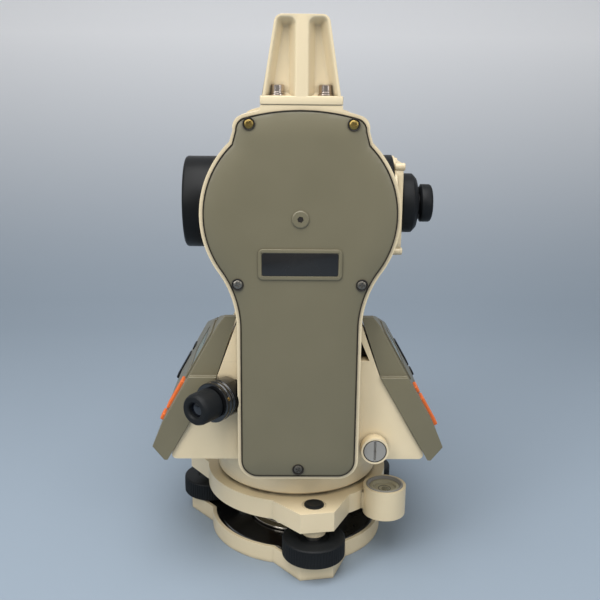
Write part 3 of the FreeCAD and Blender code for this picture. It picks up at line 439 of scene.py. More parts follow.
def steppedPlate(loop, normal, steps, back, holes=()):
    # a plate inside an outline: steps are (inset, rise) from its edge in, back is its thickness
    bm = bmesh.new()
    face = bm.faces.new([bm.verts.new(point) for point in loop])
    face.normal_update()
    if face.normal.dot(normal) < 0:
        face.normal_flip()
    extruded(bm, face.edges[:], -Vector(normal) * back * mm)
    for inset, rise in steps:
        bmesh.ops.inset_region(bm, faces=[face], thickness=inset * mm, depth=rise * mm,
                               use_boundary=True, use_even_offset=True)
    if holes:
        boundary = face.edges[:]
        level = face.verts[0].co.copy()
        bmesh.ops.delete(bm, geom=[face], context="FACES_ONLY")
        turn = Vector(normal).to_track_quat("Z", "Y").to_matrix().to_4x4()
        for centre, radius in holes:
            place = Vector(centre)
            place += Vector(normal) * (level - place).dot(Vector(normal))
            circle = bmesh.ops.create_circle(bm, cap_ends=False, radius=radius * mm, segments=48,
                                             matrix=Matrix.Translation(place) @ turn)
            boundary += dict.fromkeys(edge for vert in circle["verts"] for edge in vert.link_edges)
        bmesh.ops.triangle_fill(bm, use_beauty=True, use_dissolve=False, edges=boundary, normal=normal)
    return bm


def roundedBox(size, corner, edge, axis=1):
    # a block whose edges along one axis are rounded first, and then the rest
    bm = bmesh.new()
    bmesh.ops.create_cube(bm, size=1)
    bmesh.ops.scale(bm, vec=Vector(size) * mm, verts=bm.verts)
    if corner:
        upright = [e for e in bm.edges if abs((e.verts[0].co - e.verts[1].co).normalized()[axis]) > 0.9]
        bevelEdges(bm, upright, corner * mm, 6)
    if edge:
        bevelEdges(bm, sharpEdges(bm, 40), edge * mm, 3)
    return bm


def shifted(bm, place):
    bmesh.ops.translate(bm, vec=Vector(place) * mm, verts=bm.verts)
    return bm


def pressed(bm, test, depth):
    # pushes the top of a shape down where a test of (x, y) in millimetres holds
    top = max(v.co.z for v in bm.verts)
    for vert in bm.verts:
        if top - vert.co.z < 0.5 * depth * mm and test(vert.co.x / mm, vert.co.y / mm):
            vert.co.z = top - depth * mm


def hexagon(half, turn=0):
    # tells whether a point of (x, y) lies in a hexagon of this half width
    angles = [turn + number * math.pi / 3 for number in range(3)]
    return lambda x, y: all(abs(x * math.cos(a) + y * math.sin(a)) < half for a in angles)


def makeFootKnobs():
    knob = {"ribs": 66, "ribDepth": 0.5, "ribEdge": 1.1, "bevel": 1.5, "dish": 10.5, "dishDepth": 1.1,
            "dishSlope": 1.2, "bore": 4.0}
    for place in ("front", "right", "left"):
        node = "levelling_knob_" + place
        size = extent(node)
        radius, tall = size.x / 2, size.z
        bm = turned([(knob["bore"], 0), (radius, 0), (radius, tall), (knob["dish"], tall),
                     (knob["dish"] - knob["dishSlope"], tall - knob["dishDepth"]),
                     (knob["bore"], tall - knob["dishDepth"])], knob["ribs"] * 4)
        outer = [edge for edge in rings(bm) if edge.verts[0].co.xy.length > (radius - 1) * mm]
        bevelEdges(bm, outer, knob["bevel"] * mm, 4)
        rib(bm, radius, knob["ribs"], knob["ribDepth"], knob["ribEdge"], tall - knob["ribEdge"])
        centre = middle(node)
        aim(bm, (centre.x, centre.y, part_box(node)[0].z), (0, 0, 1))
        keepPiece("footKnob_" + place, bm, [node], smoothAngle=40)


def makeLining():
    # the pressed black cover inside the base's rim, with a bead near its edge
    bead = {"steps": [(0.3, 0), (0.5, 0.35), (0.8, 0.2), (0.9, 0), (0.8, -0.25), (0.6, -0.3), (1.0, 0)],
            "back": 1.0, "bore": 16.8}
    loop = outerLoop("base_lining", 2, 1)
    bm = steppedPlate(loop, (0, 0, 1), bead["steps"], bead["back"], [((0, 0, 0), bead["bore"])])
    keepPiece("liningPress", bm, ["base_lining"], smoothAngle=50, closed=False)


def makeCentreBoss():
    # bright spring plate and threaded boss in the middle of the base
    boss = {"profile": [(6.8, 0), (16.4, 0), (16.4, 8.9), (33.0, 8.9), (33.0, 10.6), (29.0, 11.6),
                        (29.0, 14.2), (21.5, 14.2), (21.5, 17.4), (6.8, 17.4)]}
    bm = turned(boss["profile"], 120)
    soften(bm, 0.5)
    keepPiece("springPlate", bm, ["centre_thread_bush"], "chrome")


def makeScrewCaps():
    cap = {"profile": [(0, -1), (6.3, -1), (6.3, 0.7), (5.2, 1.25), (4.6, 1.3), (4.2, 1.05), (0, 1.35)]}
    whole = bmesh.new()
    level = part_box("screw_caps")[0].z
    for place in ("front", "right", "left"):
        centre = middle("levelling_knob_" + place)
        join(whole, aim(turned(cap["profile"], 64), (centre.x, centre.y, level), (0, 0, 1)))
    keepPiece("screwCapDomes", whole, ["screw_caps"], smoothAngle=50)


def makeVial():
    # circular level: thin grey bezel, pale cell with its ring mark, and the bubble
    vial = {"bezel": [(10.0, -8), (12.0, -8), (12.0, -0.2), (11.5, 0), (10.9, 0), (10.6, -1.0), (10.0, -1.4)],
            "cell": [(0, -9), (10.0, -9), (10.0, -1.7), (9.0, -1.2), (7.6, -1.5), (7.2, -3.2), (0, -3.7)],
            "mark": [(3.8, -3.9), (4.15, -3.9), (4.15, -3.35), (3.8, -3.35)],
            "bubble": 2.4, "flatness": 0.28, "bubbleAt": (0.5, -0.7, -3.3)}
    centre = middle("vial_ring")
    centre.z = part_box("vial_ring")[1].z
    bezel = turned(vial["bezel"], 96)
    soften(bezel, 0.2)
    cell = turned(vial["cell"], 64)
    mark = turned(vial["mark"], 64)
    bubble = bmesh.new()
    bmesh.ops.create_uvsphere(bubble, u_segments=32, v_segments=16, radius=vial["bubble"] * mm)
    bmesh.ops.scale(bubble, vec=(1, 1, vial["flatness"]), verts=bubble.verts)
    shifted(bubble, vial["bubbleAt"])
    parts = (("vialBezel", bezel, "vial_ring", "grey_cap"), ("vialCell", cell, "vial_glass", "pale_cell"),
             ("vialMark", mark, "vial_glass", "black_metal"), ("vialBubble", bubble, "vial_glass", "vial"))
    for name, bm, node, coat in parts:
        bmesh.ops.translate(bm, vec=centre, verts=bm.verts)
        keepPiece(name, bm, [node], coat, smoothAngle=50)


makeFootKnobs()
makeLining()
makeCentreBoss()
makeScrewCaps()
makeVial()
softCopy("base_plate", 0.9)
softCopy("upper_plate", 1.0)
softCopy("screw_sleeves", 0.5)
print("tribrach made")


def makeSlottedCap():
    # a coin-slotted cap in its boss, with a dark ring round it as painted shade in the gap
    cap = {"profile": [(0, 0), (6.9, 0), (6.9, 1.9), (6.6, 2.2)], "rows": (6.3, 0.3, 20, 2.2),
           "slotHalf": 0.6, "slotReach": 6.4, "slotDepth": 0.9,
           "gap": [(6.7, -1.5), (7.35, -1.5), (7.35, 0.05), (6.7, 0.05)]}
    centre = middle("battery_contact_cap")
    bm = turned(cap["profile"] + flatRows(*cap["rows"]), 96)
    pressed(bm, lambda x, y: abs(x) < cap["slotHalf"] and math.hypot(x, y) < cap["slotReach"],
            cap["slotDepth"])
    aim(bm, (centre.x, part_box("battery_contact_cap")[1].y, centre.z), (0, -1, 0))
    keepPiece("slottedCap", bm, ["battery_contact_cap"], smoothAngle=35)
    gap = aim(turned(cap["gap"], 64), (centre.x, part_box("lower_housing")[0].y, centre.z), (0, -1, 0))
    keepPiece("slottedCapGapShade", gap, ["battery_contact_cap"], "painted_dark_shade")


coverShape = {"edge": [(0.12, 0.4), (0.2, 0.28), (0.35, 0.18)], "back": 2.2, "crown": 1.75,
              "reach": 15.0, "curve": 2.2, "grid": 3.0, "spans": ((0, -57, 57), (2, 72, 291)),
              "gapShadeDrop": 1.5, "gapShadeTall": 2.0, "gapShadeWall": 0.4}
coverScrews = {"places": [(29.1, 282.4), (-29.1, 282.4), (36.0, 191.3), (-36.0, 191.3), (0, 75.2)],
               "radius": 2.65}


def outlineDistance(point, loop):
    nearest = 1.0
    for a, b in zip(loop, loop[1:] + loop[:1]):
        span = b - a
        along = max(0.0, min(1.0, (point - a).dot(span) / max(span.length_squared, 1e-12)))
        nearest = min(nearest, (point - a - span * along).length)
    return nearest / mm


def makeCover(node, sign):
    # a moulded cover: a small rounded edge, then a face that crowns up to its middle, and a dark strip of
    # painted shade in the gap round it
    shape = coverShape
    loop = outerLoop(node, 1, sign)
    face = loop[0].y
    rim = sum(inset for inset, rise in shape["edge"])
    start = sum(rise for inset, rise in shape["edge"]) + shape["crown"]
    lowered = [point - Vector((0, sign * start * mm, 0)) for point in loop]
    bm = steppedPlate(lowered, (0, sign, 0), shape["edge"], shape["back"])
    level = face - sign * shape["crown"] * mm
    for axis, low, high in shape["spans"]:
        for number in range(int(low / shape["grid"]), int(high / shape["grid"]) + 1):
            point, normal = Vector((0, 0, 0)), Vector((0, 0, 0))
            point[axis] = number * shape["grid"] * mm
            normal[axis] = 1
            splitFaces(bm, facesAt(bm, level), point, normal)
    inner = {vert for flat in facesAt(bm, level) for vert in flat.verts}
    for vert in inner:
        depth = outlineDistance(Vector((vert.co.x, face, vert.co.z)), loop) - rim
        short = max(0.0, 1 - depth / shape["reach"])
        vert.co.y = face - sign * shape["crown"] * short ** shape["curve"] * mm
    keepPiece(node + "Shell", bm, [node], smoothAngle=40, closed=False)
    # painted shade: a dark strip set back in the gap round the cover, standing for the shadow in that gap
    ribbon = bmesh.new()
    verts = [ribbon.verts.new(point - Vector((0, sign * shape["gapShadeDrop"] * mm, 0))) for point in loop]
    edges = [ribbon.edges.new(pair) for pair in zip(verts, verts[1:] + verts[:1])]
    extruded(ribbon, edges, (0, -sign * shape["gapShadeTall"] * mm, 0))
    coverGapShade = keepPiece(node + "Gasket", ribbon, [node], "painted_dark_shade")
    wall = coverGapShade.modifiers.new("wall", "SOLIDIFY")
    wall.thickness = shape["gapShadeWall"] * mm
    wall.offset = 0


def screwHead(radius, deep):
    # a cross-slotted pan head, its top at 0
    head = {"row": 0.12, "dome": 0.55, "edge": 0.75, "armLong": 0.62, "armHalf": 0.15, "top": 0.6,
            "slot": 0.5, "slotFall": 0.35}
    rows = [radius - head["row"] * n for n in range(1, int(radius / head["row"]))]
    dome = [(r, -head["dome"] * (r / radius) ** 3) for r in rows]
    bm = turned([(0, -deep), (radius, -deep), (radius, -head["edge"])] + dome + [(0, 0)], 96)
    for vert in bm.verts:
        x, y = abs(vert.co.x) / mm, abs(vert.co.y) / mm
        cross = max(x, y) < head["armLong"] * radius and min(x, y) < head["armHalf"] * radius
        if cross and vert.co.z > -head["top"] * mm:
            vert.co.z = -(head["slot"] + head["slotFall"] * (1 - math.hypot(x, y) / radius)) * mm
    return bm


def makeCoverScrews():
    # two plated screws at the top and three dark ones, each in a dark socket ring that is painted shade round
    # its head
    screw = {"deep": 2.2, "proud": 0.1, "firstTurn": 25, "nextTurn": 31,
             "socket": [(2.4, -3.0), (3.5, -3.0), (3.5, 0.02), (3.25, 0.08), (2.95, -0.1), (2.7, -0.9),
                        (2.4, -1.0)]}
    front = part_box("circle_cover")[0].y
    plated, dark, sockets = bmesh.new(), bmesh.new(), bmesh.new()
    for number, (x, z) in enumerate(coverScrews["places"]):
        head = screwHead(coverScrews["radius"], screw["deep"])
        turn = Matrix.Rotation(math.radians(screw["firstTurn"] + screw["nextTurn"] * number), 4, "Z")
        bmesh.ops.transform(head, matrix=turn, verts=head.verts)
        aim(head, (x * mm, front - screw["proud"] * mm, z * mm), (0, -1, 0))
        join(plated if number < 2 else dark, head)
        join(sockets, aim(turned(screw["socket"], 64), (x * mm, front, z * mm), (0, -1, 0)))
    keepPiece("coverScrewsPlated", plated, ["circle_cover_screws"], "zinc", smoothAngle=30)
    keepPiece("coverScrewsDark", dark, ["circle_cover_screws"], "dark_steel", smoothAngle=30)
    keepPiece("coverScrewSocketShade", sockets, ["circle_cover_screws"], "painted_dark_shade")


def makeFarScrews():
    screw = {"deep": 1.6, "proud": 0.2}
    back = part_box("far_cover")[1].y + screw["proud"] * mm
    whole = bmesh.new()
    for x, z in coverScrews["places"]:
        join(whole, aim(screwHead(coverScrews["radius"], screw["deep"]), (x * mm, back, z * mm), (0, 1, 0)))
    keepPiece("farCoverScrews", whole, [], "dark_steel", smoothAngle=30, body="alidade")


def makePlug():
    # raised round plug over the trunnion, with a hexagon socket whose dark bottom is painted shade
    plug = {"profile": [(0, -3), (5.0, -3), (5.0, 0.55), (4.5, 0.95)], "rows": (4.4, 0.2, 22, 1.0),
            "hexagon": (1.55, 0.3), "deep": 1.6, "stand": 1.0,
            "socket": [(0, -1.2), (1.85, -1.2), (1.85, 0.6), (0, 0.6)]}
    centre = middle("circle_plug")
    seat = (centre.x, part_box("circle_plug")[0].y + plug["stand"] * mm, centre.z)
    bm = turned(plug["profile"] + flatRows(*plug["rows"]), 96)
    pressed(bm, hexagon(*plug["hexagon"]), plug["deep"])
    keepPiece("plugOverTrunnion", aim(bm, seat, (0, -1, 0)), ["circle_plug"], smoothAngle=35)
    # painted shade: a dark hexagon in the socket, for the shade inside it
    socket = aim(turned(plug["socket"], 6), seat, (0, -1, 0))
    keepPiece("plugSocketShade", socket, ["circle_plug"], "painted_dark_shade")


def makeNamePlate():
    # a bare plate: a rounded olive frame round a black field with nothing on it
    plate = {"round": 0.6, "field": (44.0, 1.0, 13.4), "corner": 1.2, "fieldEdge": 0.15, "fieldIn": 0.75}
    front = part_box("blank_name_plate")[0].y
    border = copyNode("blank_name_plate")
    bevelEdges(border, [edge for edge in sharpEdges(border, 40)
                        if all(v.co.y < front + 0.1 * mm for v in edge.verts)], plate["round"] * mm, 4)
    keepPiece("namePlateFrame", border, ["blank_name_plate"], "olive_plastic", smoothAngle=40, closed=False)
    centre = middle("blank_name_plate") / mm
    field = roundedBox(plate["field"], plate["corner"], plate["fieldEdge"])
    shifted(field, (centre.x, front / mm + plate["fieldIn"], centre.z))
    keepPiece("namePlateField", field, ["blank_name_plate"], "black_lining")


def makeNotchShade():
    # a dark plate inside the notch beside the right panel: painted shade for its shadowed inside
    notch = {"size": (6.4, 1.0, 13.2), "edge": 0.1, "place": (40.2, -50.0, 146.8)}
    back = shifted(roundedBox(notch["size"], 0, notch["edge"]), notch["place"])
    keepPiece("notchShadePlate", back, [], "painted_dark_shade", body="alidade")


makeSlottedCap()
makeNotchShade()
makeCover("circle_cover", -1)
makeCover("far_cover", 1)
makeCoverScrews()
makeFarScrews()
makePlug()
makeNamePlate()
softCopy("base_flange", 0.5)
softCopy("lower_housing", 1.4)
for side in ("circle_side_standard", "far_side_standard"):
    softCopy(side, 0.6)
print("standards made")


def makeLegEnd(leg, sign):
    # one end of the handle's leg: two smooth scoops beside a rounded rib
    low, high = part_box("carrying_handle")
    shoulder = low.z + leg["foot"] * mm
    end = steppedPlate(outerLoop("carrying_handle", 1, sign), (0, sign, 0), [], leg["thick"])
    trim(end, (0, 0, shoulder), (0, 0, -1))
    for vert in end.verts:
        if vert.co.z < shoulder + 1e-5:
            vert.co.z = low.z + leg["sunk"] * mm
    for side in (1, -1):
        splitFaces(end, facesAt(end, sign * high.y), (side * leg["rib"] * mm, 0, 0), (1, 0, 0))
    sides = [f for f in facesAt(end, sign * high.y) if abs(f.calc_center_median().x) > leg["rib"] * mm]
    bmesh.ops.inset_individual(end, faces=sides, thickness=leg["lip"] * mm, use_even_offset=True)
    rim = {v for f in sides for v in f.verts}
    arches = [v for f in sides for v in f.verts if v.co.z > high.z - leg["archBand"] * mm
              and abs(v.co.x) < (leg["rib"] + leg["archBand"]) * mm]
    mitres = [e for v in arches for e in v.link_edges if e.other_vert(v) not in rim]
    bmesh.ops.dissolve_edges(end, edges=mitres, use_verts=False)
    bmesh.ops.bevel(end, geom=arches, offset=leg["arch"] * mm, offset_type="OFFSET", segments=6,
                    profile=0.5, affect="VERTICES", material=-1, clamp_overlap=True)
    inner = [f for f in facesAt(end, sign * high.y)
             if min(abs(v.co.x) for v in f.verts) > (leg["rib"] + leg["lip"] / 2) * mm
             and f.calc_area() > leg["scoopArea"] * mm * mm]
    level = high.y
    for row in range(1, leg["rows"] + 1):
        share = row / leg["rows"]
        deep = leg["scoopDeep"] * share * share * (3 - 2 * share) * mm
        inner = [f for f in inner if len(f.verts) > 3 and f.calc_area() > leg["floorArea"] * mm * mm]
        bmesh.ops.inset_individual(end, faces=inner, thickness=leg["scoopWide"] / leg["rows"] * mm,
                                   depth=high.y - deep - level, use_even_offset=True)
        level = high.y - deep
        bmesh.ops.remove_doubles(end, verts=[v for f in inner for v in f.verts], dist=leg["merge"] * mm)
        inner = facesAt(end, sign * level)
    return end


def makeHandle():
    # the grip from its node, with new leg ends and feet
    leg = {"thick": 12.0, "overlap": 0.1, "foot": 4.8, "footEdge": 0.6, "sunk": 1.0, "lip": 0.9,
           "scoopWide": 4.8, "scoopDeep": 7.6, "scoopArea": 100, "floorArea": 40, "merge": 0.3,
           "rows": 14, "rib": 2.0, "arch": 4.5, "archBand": 1.5, "edge": 0.5}
    low, high = (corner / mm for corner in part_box("carrying_handle"))
    grip = copyNode("carrying_handle")
    for sign in (1, -1):
        trim(grip, (0, sign * (high.y - leg["thick"] + leg["overlap"]) * mm, 0), (0, sign, 0))
        join(grip, makeLegEnd(leg, sign))
        foot = roundedBox((high.x * 2, leg["thick"] + leg["overlap"], leg["foot"]), 0, leg["footEdge"])
        join(grip, shifted(foot, (0, sign * (high.y - leg["thick"] / 2), low.z + leg["foot"] / 2)))
    roundOff(keepPiece("handleGrip", grip, ["carrying_handle"], closed=False), leg["edge"])


def makeHandleBolts():
    # knurled socket heads over spring washers
    bolt = {"radius": 3.7, "seat": 297.7, "head": [(0, 2.3), (3.7, 2.3), (3.7, 5.7), (3.3, 6.1)],
            "rows": (3.3, 0.2, 16, 6.1), "ribs": (3.7, 36, 0.22, 2.5, 5.6), "hexagon": 1.5,
            "socketDeep": 2.4,
            "washer": [(2.6, 0), (4.4, 0), (4.4, 1.0), (2.6, 1.0)],
            "spring": [(2.6, 1.15), (3.95, 1.15), (3.95, 2.15), (2.6, 2.15)]}
    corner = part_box("handle_screws")[1] / mm
    whole = bmesh.new()
    for sideX in (1, -1):
        for sideY in (1, -1):
            head = ribbed(bolt["head"] + flatRows(*bolt["rows"]), bolt["ribs"])
            pressed(head, hexagon(bolt["hexagon"]), bolt["socketDeep"])
            for ring, edge in (("washer", 0.15), ("spring", 0.2)):
                bm = turned(bolt[ring], 64)
                soften(bm, edge)
                join(head, bm)
            shifted(head, (sideX * (corner.x - bolt["radius"]), sideY * (corner.y - bolt["radius"]),
                           bolt["seat"]))
            join(whole, head)
    keepPiece("handleBolts", whole, ["handle_screws"], "bolt_steel", smoothAngle=35)


makeHandle()
makeHandleBolts()
print("handle made")


def makePanels():
    # the cases stand on the housing's slopes, which turn at the ridge's height
    panel = {"ridge": 130, "foot": 50, "upperSlope": 0.361, "lowerSlope": -0.569, "endRound": 3.0,
             "endFrom": 57, "endSlant": 4, "standOut": 8, "ledgeRound": 2.2, "ledgeFrom": 61.5,
             "ledgeBand": 0.5, "keyRound": 0.9, "lcdInset": 2.6, "lcdRise": 0.06}

    def outer(point):
        # how far a point stands out from the housing's slope
        up = point.z - panel["ridge"]
        slope = panel["upperSlope"] if up > 0 else panel["lowerSlope"]
        return abs(point.x) - panel["foot"] + slope * abs(up)

    def endEdge(edge):
        a, b = (v.co / mm for v in edge.verts)
        atEnd = min(abs(a.y), abs(b.y)) > panel["endFrom"] and abs(a.y - b.y) < panel["endSlant"]
        return atEnd and outer((a + b) / 2) > panel["standOut"]

    def ledge(edge):
        a, b = (v.co / mm for v in edge.verts)
        level = max(abs(a.z - panel["ridge"]), abs(b.z - panel["ridge"])) < panel["ledgeBand"]
        return level and min(abs(a.y), abs(b.y)) > panel["ledgeFrom"]

    picks = [(endEdge, panel["endRound"]), (ledge, panel["ledgeRound"])]
    for hand, way in (("right", 1), ("left", -1)):
        softCopy("panel_case_" + hand, 1.2, 4, picks=picks)
        window = "display_window_" + hand
        softCopy(window, 0.3)
        glass = copyNode(window)
        front = max(glass.faces, key=lambda f: f.normal.dot(Vector((way, 0, 0.6))) + f.calc_area() * 1e4)
        faces = [f for f in glass.faces
                 if f.normal.dot(front.normal) > 0.99 and f.calc_area() > front.calc_area() / 2]
        bmesh.ops.inset_region(glass, faces=faces, thickness=panel["lcdInset"] * mm,
                               depth=panel["lcdRise"] * mm, use_even_offset=True)
        bmesh.ops.delete(glass, geom=[f for f in glass.faces if f not in faces], context="FACES")
        keepPiece("lcd_" + hand, glass, [window], "lcd", closed=False)
        for key in ("upper_left", "lower_left", "upper_right", "lower_right"):
            softCopy("key_%s_%s" % (hand, key), panel["keyRound"], 4)


makePanels()
print("panels made")


def makePlummet():
    # a lacquered barrel with brass pins in its collar, and the turning eyepiece
    sight = {"angle": 55.0, "height": 118.0, "collar": 85.5,
             "barrel": [(0, -17), (9.9, -17), (9.9, -11), (11.9, -11), (11.9, -1.6), (11.2, -1.3),
                        (11.2, 0), (12.3, 0), (12.3, 2.0), (11.7, 2.4), (11.7, 3.4), (12.3, 3.8),
                        (12.3, 6.0), (11.0, 6.0), (6.0, 6.0), (6.0, 14.5), (0, 14.5)],
             "pin": [(0, -1), (1.15, -1), (1.15, 0.1), (0.95, 0.3), (0, 0.35)],
             "pinTurns": (20, 110, 200, 290), "pinOut": 2.9, "pinRadius": 11.75,
             "eyepiece": [(6.1, 0), (9.0, 0), (9.7, 0.7), (9.7, 12.2), (9.2, 14.2), (8.2, 15.4), (5.6, 15.4),
                          (4.6, 14.4), (4.6, 12.2), (0, 12.2), (0, 9.6), (6.1, 9.6)],
             "eyepieceOut": 6.3, "ribs": (9.7, 50, 0.28, 1.5, 11.6),
             "lens": [(0, 12.25), (4.4, 12.25), (4.4, 12.5), (2.2, 13.15), (0, 13.35)]}
    turn = math.radians(sight["angle"])
    out = Vector((-math.cos(turn), -math.sin(turn), 0))
    start = out * sight["collar"] * mm + Vector((0, 0, sight["height"] * mm))
    barrel = turned(sight["barrel"], 96)
    soften(barrel, 0.3, 2)
    keepPiece("plummetBarrel", aim(barrel, start, out), ["plummet_barrel"], "black_gloss", smoothAngle=40)
    across = Vector((-out.y, out.x, 0))
    pins = bmesh.new()
    for degrees in sight["pinTurns"]:
        angle = math.radians(degrees)
        away = across * math.cos(angle) + Vector((0, 0, math.sin(angle)))
        place = start + (out * sight["pinOut"] + away * sight["pinRadius"]) * mm
        join(pins, aim(turned(sight["pin"], 24), place, away))
    keepPiece("plummetPins", pins, ["plummet_barrel"], "brass")
    eye = ribbed(sight["eyepiece"], sight["ribs"])
    soften(eye, 0.25, 2, 35)
    face = start + out * sight["eyepieceOut"] * mm
    keepPiece("plummetEyepiece", aim(eye, face, out), ["plummet_eyepiece"], smoothAngle=35)
    lens = aim(turned(sight["lens"], 48), face, out)
    keepPiece("plummetLens", lens, ["plummet_eyepiece"], "optics", smoothAngle=60)


makePlummet()
print("plummet made")


def makeObjective():
    # the heights of the profiles are counted back from the barrel's front
    tube = {"start": 46.0, "outer": 29.4, "inner": 26.2,
            "hood": [(23.4, -8.8), (26.15, -8.8), (26.15, -6.6), (25.4, -6.6), (25.0, -7.6), (24.0, -7.9)],
            "glass": [(0, -13), (24.2, -13), (24.2, -8.9), (18, -7.9), (12, -7.2), (6, -6.8), (0, -6.7)]}
    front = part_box("objective_barrel")[0].x / mm
    outer, inner, back = tube["outer"], tube["inner"], front + tube["start"]
    barrel = turned([(inner, back), (outer, back), (outer, -1.8), (outer - 0.5, -0.6), (outer - 1.5, 0),
                     (inner + 0.6, 0), (inner, -0.8), (inner, -8.6)], 160)
    soften(barrel, 0.3, 2, 30)
    place, axis = (front * mm, 0, trunnion * mm), (-1, 0, 0)
    keepPiece("objectiveTube", aim(barrel, place, axis), ["objective_barrel"], smoothAngle=40)
    hood = aim(turned(tube["hood"], 120), place, axis)
    keepPiece("lensRetainer", hood, ["objective_lens"], "black_metal")
    glass = aim(turned(tube["glass"], 96), place, axis)
    keepPiece("objectiveGlass", glass, ["objective_lens"], smoothAngle=60)


def makeEyeEnd():
    # the knurled focus ring, the knurled eyepiece ring and its lens
    eye = {"focus": [(9.1, -3.2), (18.2, -3.2), (19.2, -2.2), (19.2, 4.6), (18.3, 5.6), (16.2, 7.4),
                     (13.0, 8.2), (9.1, 8.8)],
           "focusAt": 68.7, "focusRibs": (19.2, 54, 0.5, -1.6, 4.0),
           "ring": [(7.6, 0), (10.6, 0), (11.2, 0.6), (12.3, 1.0), (12.3, 6.4), (11.6, 7.6), (10.2, 8.2),
                    (8.3, 8.2), (7.6, 7.4)],
           "ringAt": 78.5, "ringRibs": (12.3, 48, 0.34, 1.4, 6.1),
           "lens": [(0, 0), (5.9, 0), (5.9, 0.5), (3, 1.2), (0, 1.5)], "lensAt": 82.9}
    axis = (1, 0, 0)
    focus = ribbed(eye["focus"], eye["focusRibs"])
    soften(focus, 0.3, 2, 35)
    aim(focus, (eye["focusAt"] * mm, 0, trunnion * mm), axis)
    keepPiece("focusKnurl", focus, ["focus_ring"], smoothAngle=38)
    ring = ribbed(eye["ring"], eye["ringRibs"])
    soften(ring, 0.2, 2, 35)
    aim(ring, (eye["ringAt"] * mm, 0, trunnion * mm), axis)
    keepPiece("eyeKnurl", ring, ["eyepiece_ring"], smoothAngle=38)
    lens = aim(turned(eye["lens"], 48), (eye["lensAt"] * mm, 0, trunnion * mm), axis)
    keepPiece("eyeGlass", lens, ["eyepiece_lens"], smoothAngle=60)


def makeRearFlange():
    # thin plate with a lug at each corner, behind a black band on the body
    flange = {"plate": 5.6, "smaller": 2.4, "corner": 8.0, "edge": 0.8, "behind": 1.5, "lug": 2.4,
              "lugLong": 6.6, "lugInY": 3.4, "lugInZ": 3.2,
              "band": [(29.0, 46.5), (30.95, 46.5), (30.95, 59.6), (29.0, 59.6)]}
    centre = middle("rear_flange") / mm
    size = extent("rear_flange")
    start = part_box("rear_flange")[0].x / mm - flange["behind"]
    whole = roundedBox((flange["plate"], size.y - flange["smaller"], size.z - flange["smaller"]),
                       flange["corner"], flange["edge"], 0)
    shifted(whole, (start + flange["plate"] / 2, centre.y, centre.z))
    for sideY in (1, -1):
        for sideZ in (1, -1):
            lug = turned([(0, 0), (flange["lug"], 0), (flange["lug"], flange["lugLong"]),
                          (0, flange["lugLong"])], 40)
            soften(lug, 0.7)
            place = Vector((start, centre.y + sideY * (size.y / 2 - flange["lugInY"]),
                            centre.z + sideZ * (size.z / 2 - flange["lugInZ"])))
            join(whole, aim(lug, place * mm, (1, 0, 0)))
    keepPiece("rearFlangePlate", whole, ["rear_flange"], smoothAngle=35)
    band = turned(flange["band"], 120)
    soften(band, 0.4)
    keepPiece("bodyBand", aim(band, (0, 0, trunnion * mm), (1, 0, 0)), [], "black_metal", body="telescope")


def makeSightGlass():
    # pale windows at both ends of the finder's tube
    window = {"size": (0.5, 4.0, 3.0), "corner": 0.4, "edge": 0.1, "down": 2.7}
    low, high = (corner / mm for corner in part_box("finder_sight"))
    whole = bmesh.new()
    for x in (low.x, high.x):
        glass = roundedBox(window["size"], window["corner"], window["edge"], 0)
        join(whole, shifted(glass, (x, (low.y + high.y) / 2, high.z - window["down"])))
    keepPiece("sightGlass", whole, [], "pale_cell", body="telescope")


makeObjective()
makeEyeEnd()
makeRearFlange()
softCopy("telescope_body", 0.8)
softCopy("finder_sight", 0.6)
makeSightGlass()
print("telescope made")


def makeDrives():
    drive = {"tall": 16, "ribs": (9.5, 44, 0.45, 1.6, 13.9),
             "profile": [(0, -14), (4, -14), (4, 0), (8.4, 0), (9.5, 1.0), (9.5, 14.4), (8.4, 16), (5.5, 16),
                         (5.0, 15.5), (0, 15.5)]}
    for node in ("vertical_tangent_knob", "horizontal_tangent_knob"):
        centre = middle(node)
        centre.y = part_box(node)[1].y - drive["tall"] * mm
        knob = ribbed(drive["profile"], drive["ribs"])
        soften(knob, 0.25, 2, 35)
        keepPiece(node + "Knurl", aim(knob, centre, (0, 1, 0)), [node], smoothAngle=38)
    for node in ("vertical_clamp_knob", "horizontal_clamp_knob"):
        softCopy(node, 0.9, 4)


def makeBattery():
    latch = {"size": (15.0, 1.6, 7.0), "corner": 1.6, "edge": 0.4, "proud": 0.1, "up": 68.0, "grips": 5,
             "grip": (11.0, 0.6, 0.5), "gripEdge": 0.15, "gripOut": 0.9, "gripStep": 1.1}
    softCopy("battery_pack", 0.9)
    low, high = (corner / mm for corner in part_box("battery_pack"))
    place = Vector(((low.x + high.x) / 2, high.y + latch["proud"], low.z + latch["up"]))
    whole = shifted(roundedBox(latch["size"], latch["corner"], latch["edge"]), place)
    for number in range(latch["grips"]):
        bar = roundedBox(latch["grip"], 0, latch["gripEdge"])
        up = (number - latch["grips"] // 2) * latch["gripStep"]
        join(whole, shifted(bar, place + Vector((0, latch["gripOut"], up))))
    keepPiece("batteryLatch", whole, ["battery_pack"], "black_knob")


makeDrives()
makeBattery()
print("far side made")


